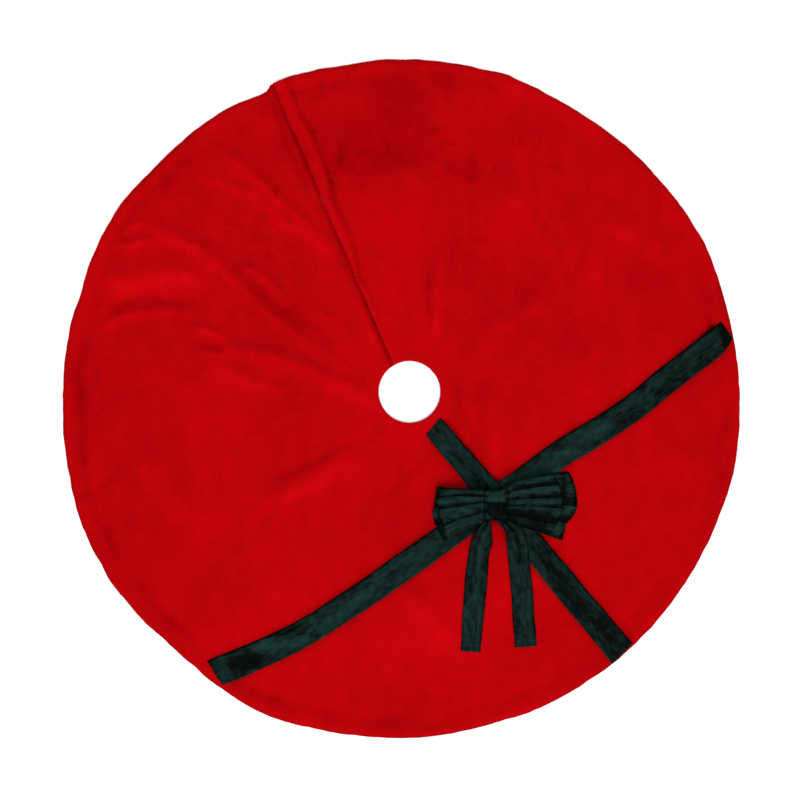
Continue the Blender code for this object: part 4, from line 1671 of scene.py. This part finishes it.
@dataclass(frozen=True)
class WovenFinish:
    """Plain woven or knitted cloth.

    Attributes:
        name: name of the material.
        dark: colour between the threads.
        light: colour of the threads.
        phase: radians that the weave turns in a metre, 2 pi for each thread.
        bump: height of the threads.
        rough: roughness of the cloth.
        shine: specular level.
        sheen: weight of the sheen.
        grain: grain cells per metre along and across the cloth, and of the fine grain.
    """

    name: str
    dark: tuple[float, float, float]
    light: tuple[float, float, float]
    phase: float
    bump: float
    rough: float = 0.85
    shine: float = 0.15
    sheen: float = 0.05
    grain: tuple[float, float, float] = (40.0, 40.0, 900.0)

    def material(self, group: bpy.types.NodeTree) -> bpy.types.Material:
        """Two crossing bands of threads times a grain, as colour and as bump.

        Args:
            group: the shared grain group.

        Returns:
            The material.
        """
        made, graph, place, grain = cloth_material(self.name, group, self.grain)
        threads = {"Vector": place, "Scale": self.phase / WAVE_TURN, "Distortion": 0.3}
        warp, weft = (graph.add("ShaderNodeTexWave", threads, wave_type="BANDS", bands_direction=way)
                      for way in ("X", "Y"))
        weave = graph.sums("MAXIMUM", warp.outputs["Fac"], weft.outputs["Fac"])
        tone = graph.sums("MULTIPLY", weave, graph.sums("ADD", grain.outputs["Tone"], 0.5), clamp=True)
        colour = graph.mix(tone, (*self.dark, 1.0), (*self.light, 1.0))
        bump = graph.add("ShaderNodeBump", {"Height": weave, "Distance": self.bump, "Strength": 1.0})
        shader = graph.add("ShaderNodeBsdfPrincipled", {
            "Base Color": colour, "Roughness": self.rough, "Specular IOR Level": self.shine,
            "Sheen Weight": self.sheen, "Normal": bump.outputs[0]})
        graph.add("ShaderNodeOutputMaterial", {"Surface": shader.outputs[0]})
        return made


# ---- studio ---------------------------------------------------------------------------------
@dataclass(frozen=True)
class Studio:
    """Pale floor, soft lights and a camera straight above.

    Attributes:
        distance: height of the camera.
        aim: plan place under the camera.
        key: strength of the broad front light.
        key_place: where that light comes from.
        key_spread: angle that it fills, in degrees.
        sky: strength of the light from all round.
        floor_half: half the side of the floor.
        floor_height: height of the floor, a trace under the cloth.
        floor_grey: how pale the floor is.
        floor_glow: strength of the floor's own light, which keeps shadows on it faint.
    """

    distance: float = 3.395
    aim: tuple[float, float] = (-0.0007, -0.0014)
    key: float = 2.35
    key_place: tuple[float, float, float] = (0.32, -1.40, 2.6)
    key_spread: float = 45.0
    sky: float = 0.50
    floor_half: float = 8.0
    floor_height: float = -0.0004
    floor_grey: float = 0.93
    floor_glow: float = 0.25

    def floor(self) -> None:
        """Makes the floor: one pale square."""
        material = bpy.data.materials.new("pale_floor")
        material.use_nodes = True
        looks = {"Base Color": (self.floor_grey, self.floor_grey, self.floor_grey, 1.0), "Roughness": 0.9,
                 "Specular IOR Level": 0.0, "Emission Color": (1.0, 1.0, 1.0, 1.0),
                 "Emission Strength": self.floor_glow}
        for key, value in looks.items():
            material.node_tree.nodes["Principled BSDF"].inputs[key].default_value = value
        mesh = bpy.data.meshes.new("floor")
        turns = ((-1.0, -1.0), (1.0, -1.0), (1.0, 1.0), (-1.0, 1.0))
        corners = [(a * self.floor_half, b * self.floor_half, self.floor_height) for a, b in turns]
        mesh.from_pydata(corners, [], [(0, 1, 2, 3)])
        mesh.materials.append(material)
        floor = bpy.data.objects.new("floor", mesh)
        bpy.context.scene.collection.objects.link(floor)

    def lights(self) -> None:
        """Makes the key light, soft and even from far off, and the light from all round."""
        data = bpy.data.lights.new("key_light", "SUN")
        data.energy, data.angle = self.key, math.radians(self.key_spread)
        lamp = bpy.data.objects.new("key_light", data)
        lamp.location = self.key_place
        lamp.rotation_euler = (-Vector(self.key_place)).to_track_quat("-Z", "Y").to_euler()
        bpy.context.scene.collection.objects.link(lamp)
        world = bpy.data.worlds.new("studio")
        world.use_nodes = True
        background = world.node_tree.nodes["Background"]
        background.inputs["Color"].default_value = (1.0, 1.0, 1.0, 1.0)
        background.inputs["Strength"].default_value = self.sky
        bpy.context.scene.world = world

    def camera(self) -> None:
        """Makes the camera, which looks straight down."""
        lens = bpy.data.cameras.new("camera")
        lens.lens, lens.sensor_width = 85.0, 36.0
        camera = bpy.data.objects.new("camera", lens)
        camera.location = (*self.aim, self.distance)
        bpy.context.scene.collection.objects.link(camera)
        bpy.context.scene.camera = camera

    def build(self) -> None:
        """Makes the floor, the lights and the camera."""
        self.floor()
        self.lights()
        self.camera()
        bpy.context.scene.view_settings.view_transform = "Standard"


# ---- sizes of this skirt --------------------------------------------------------------------
RIDGES = tuple(Fold(*row) for row in (
    (((-0.0324, 0.0739), (-0.08, 0.185), (-0.1325, 0.3084), (-0.18, 0.42), (-0.2305, 0.5384)),
     0.003, 0.0085, 0.0, 0.12),
    (((-0.48, 0.327), (-0.419, 0.295), (-0.36, 0.268), (-0.318, 0.232), (-0.275, 0.192), (-0.221, 0.142),
      (-0.139, 0.08), (-0.076, 0.03)), 0.0075, 0.014, -0.25),
    (((-0.279, 0.424), (-0.223, 0.359), (-0.168, 0.313), (-0.114, 0.241)), 0.0055, 0.011, -0.2),
    (((-0.324, 0.451), (-0.27, 0.405), (-0.223, 0.359)), 0.0035, 0.013),
    (((-0.354, 0.399), (-0.257, 0.363), (-0.221, 0.327), (-0.175, 0.298), (-0.139, 0.268)),
     0.0032, 0.01, -0.2),
    (((-0.378, 0.13), (-0.34, 0.122), (-0.306, 0.106)), 0.0026, 0.008),
    (((-0.372, 0.088), (-0.34, 0.084), (-0.306, 0.076)), 0.0024, 0.007),
    (((-0.548, 0.11), (-0.5, 0.15), (-0.408, 0.16), (-0.35, 0.15)), 0.003, 0.009, 0.2),
    (((-0.498, 0.304), (-0.48, 0.312), (-0.455, 0.318)), 0.0028, 0.007),
    (((-0.5, 0.268), (-0.47, 0.282), (-0.43, 0.284)), 0.0028, 0.007),
    (((-0.3, 0.25), (-0.24, 0.215), (-0.19, 0.165)), 0.0022, 0.008),
    (((0.089, 0.304), (0.066, 0.203), (0.061, 0.083)), 0.0045, 0.014),
    (((0.154, 0.038), (0.163, -0.045), (0.175, -0.11)), 0.004, 0.015),
    (((-0.04, -0.027), (-0.076, 0.01), (-0.168, 0.056), (-0.26, 0.083), (-0.352, 0.093)), 0.005, 0.016),
    (((-0.365, 0.083), (-0.278, 0.038), (-0.223, 0.01)), 0.0032, 0.015),
    (((-0.56, 0.2), (-0.5, 0.215), (-0.42, 0.225), (-0.33, 0.215)), 0.004, 0.02),
    (((-0.075, -0.09), (-0.13, -0.125), (-0.2, -0.165), (-0.27, -0.2)), 0.003, 0.018),
    (((0.12, 0.08), (0.17, 0.12), (0.22, 0.15), (0.28, 0.2)), 0.0022, 0.016),
    (((0.105, 0.02), (0.112, -0.03), (0.118, -0.09)), 0.0024, 0.009),
    (((0.47, -0.05), (0.52, -0.15), (0.54, -0.25)), 0.0025, 0.022),
    (((-0.48, -0.06), (-0.42, -0.16), (-0.33, -0.24)), 0.0022, 0.024),
    (((0.35, 0.33), (0.42, 0.3), (0.5, 0.24)), 0.002, 0.022),
    (((-0.01, -0.33), (0.06, -0.39), (0.09, -0.46)), 0.0018, 0.02)))
FURROWS = tuple(Fold(*row) for row in (
    (((-0.545, 0.13), (-0.508, 0.166), (-0.453, 0.18), (-0.379, 0.175), (-0.333, 0.166)), -0.0022, 0.009),
    (((-0.085, 0.533), (-0.108, 0.442), (-0.123, 0.368), (-0.104, 0.304), (-0.085, 0.239)), -0.002, 0.01),
    (((-0.136, 0.585), (-0.145, 0.551), (-0.173, 0.528)), -0.003, 0.006),
    (((0.048, 0.24), (0.048, 0.175), (0.056, 0.12)), -0.0016, 0.007),
    (((0.112, 0.349), (0.098, 0.275), (0.084, 0.203)), -0.0016, 0.008),
    (((0.089, 0.061), (0.125, 0.093), (0.199, 0.121), (0.245, 0.157)), -0.0009, 0.01),
    (((0.08, 0.074), (0.093, 0.038), (0.107, -0.018), (0.163, -0.118)), -0.0018, 0.009),
    (((0.061, -0.082), (0.015, -0.137), (-0.04, -0.192)), -0.0015, 0.008),
    (((-0.058, -0.064), (-0.132, -0.1), (-0.205, -0.137), (-0.26, -0.164)), -0.0015, 0.008),
    (((-0.554, 0.13), (-0.571, 0.056), (-0.568, -0.109), (-0.554, -0.165)), -0.0014, 0.008),
    (((-0.489, -0.292), (-0.444, -0.366), (-0.37, -0.43)), -0.0018, 0.008),
    (((0.566, 0.221), (0.584, 0.148)), -0.0014, 0.008),
    (((-0.278, -0.513), (-0.232, -0.54), (-0.168, -0.569)), -0.0016, 0.007),
    (((-0.562, -0.183), (-0.527, -0.146), (-0.48, -0.109)), -0.0014, 0.008)))
PATCHES = tuple(Patch(*row) for row in (
    ((-0.01, 0.505), (0.07, 0.085), 10.0, -0.2), ((-0.005, 0.428), (0.08, 0.024), 0.0, -0.22),
    ((0.15, 0.4), (0.09, 0.03), -25.0, -0.16), ((0.22, 0.5), (0.08, 0.03), -30.0, -0.12),
    ((-0.021, 0.207), (0.025, 0.06), 0.0, 0.16), ((-0.297, 0.008), (0.09, 0.045), 15.0, 0.12),
    ((0.3, 0.23), (0.11, 0.03), 35.0, -0.12), ((-0.3, -0.33), (0.15, 0.08), -30.0, 0.08),
    ((0.42, 0.08), (0.06, 0.05), 20.0, 0.08), ((0.06, -0.45), (0.18, 0.07), 5.0, 0.08),
    ((-0.23, 0.15), (0.08, 0.018), -35.0, -0.14), ((-0.42, 0.15), (0.08, 0.02), 5.0, -0.12),
    ((0.12, 0.25), (0.018, 0.08), 10.0, -0.14), ((0.42, -0.36), (0.05, 0.03), 40.0, 0.12)))
SHORT_STREAKS = tuple(Streak(*row) for row in (
    ((1.0, -1.0), (1.0, 1.0), 0.1, 0.3, 0.0008), ((0.21, 0.05), (0.42, -0.12), 0.6, -0.55, -0.0003),
    ((0.0, -1.0), (0.0, 1.0), 0.24, -0.5), ((0.02, -0.7), (0.1, -0.2), 0.25, 0.28),
    ((0.44, 0.35), (0.86, -0.45), 0.42, 0.5, 0.0005), ((0.66, 0.75), (0.95, 0.35), 0.22, -0.25)))
LONG_STREAKS = tuple(Streak(*row) for row in (
    ((0.0, -1.0), (0.0, 1.0), 0.1, 0.3, 0.0009), ((0.02, -0.2), (0.16, 0.0), 0.35, 0.28, 0.0006),
    ((0.2, 0.3), (0.34, -0.1), 0.28, 0.12), ((0.56, 0.8), (0.64, -0.95), 0.12, 0.26, 0.0009),
    ((0.585, 0.9), (0.665, -0.8), 0.14, -0.22, -0.0003), ((0.45, -0.9), (0.5, 0.2), 0.16, 0.2, 0.0006),
    ((0.6, -0.1), (0.7, 0.1), 0.4, 0.3, 0.0005), ((0.72, 0.5), (0.86, 0.2), 0.25, 0.14, 0.0004),
    ((0.968, -1.0), (0.986, 1.0), 0.1, 0.16, 0.0006), ((0.996, 0.5), (0.984, -0.8), 0.42, -0.6, -0.0003),
    # The last stroke below is a fold with a strong painted highlight, brightening the ribbon in the bow's
    # shadow.
    ((0.72, 0.0), (1.0, 0.0), 1.3, -0.16), ((0.47, 0.85), (0.565, -0.95), 0.36, 0.6, 0.0006)))
RADIAL_STREAKS = tuple(Streak(*row) for row in (
    ((0.1, 0.0), (0.3, 0.1), 0.3, -0.25, -0.0013), ((0.02, -0.6), (0.2, -0.6), 0.2, 0.18, 0.0005),
    ((0.62, 0.5), (0.78, 0.5), 0.22, 0.12, 0.0008), ((0.6, 0.2), (0.95, 0.2), 0.7, -0.26, -0.0006),
    ((0.985, -0.2), (0.985, 0.9), 0.3, -0.25)))

RED_PLUSH = PileFinish("red_plush", (0.030, 0.0003, 0.0006), (0.300, 0.0006, 0.0014), (0.560, 0.0015, 0.0045),
                       (190.0, 290.0, 620.0), 0.22, 0.0008, (0.25, 0.5), (1.0, 0.02, 0.03))
GREEN_VELVET = PileFinish("green_velvet", (0.0002, 0.0006, 0.0005), (0.0009, 0.0032, 0.0028),
                          (0.0088, 0.0350, 0.0285), (60.0, 150.0, 1300.0), 0.42, 0.0003, (0.035, 0.30),
                          (0.12, 0.72, 0.55), 0.60, 0.03)
GREY_BACKING = WovenFinish("grey_backing", (0.019, 0.012, 0.010), (0.074, 0.050, 0.043), 1400.0, 0.0002)
LOOP_FABRIC = WovenFinish("loop_fabric", (0.30, 0.008, 0.010), (0.50, 0.02, 0.02), 900.0, 0.0004)
HOOK_FABRIC = WovenFinish("hook_fabric", (0.28, 0.006, 0.008), (0.46, 0.015, 0.016), 700.0, 0.0006)


def main() -> None:
    """Builds the finishes, the skirt, its patches, the velvet trim and the studio, in that order."""
    logging.basicConfig(level=logging.INFO, format="%(message)s")
    grain = stretched_grain()
    finishes = (RED_PLUSH, GREEN_VELVET, GREY_BACKING, LOOP_FABRIC, HOOK_FABRIC)
    plush, velvet, lining, loops, hooks = (finish.material(grain) for finish in finishes)
    drape = Drape(Plan(), RIDGES, FURROWS)
    trim = VelvetTrim(Ground(drape), velvet)
    skirt = PlushSkirt(drape, plush, lining, PATCHES, trim.shaded_ribbon_routes())
    pads = ClosurePads(drape, loops, hooks)
    for part in (skirt, pads, trim):
        part.build()
        for piece in part.pieces:
            LOG.info("made %s with %d faces", piece.name, len(piece.data.polygons))
    Studio().build()


if __name__ == "__main__":
    main()
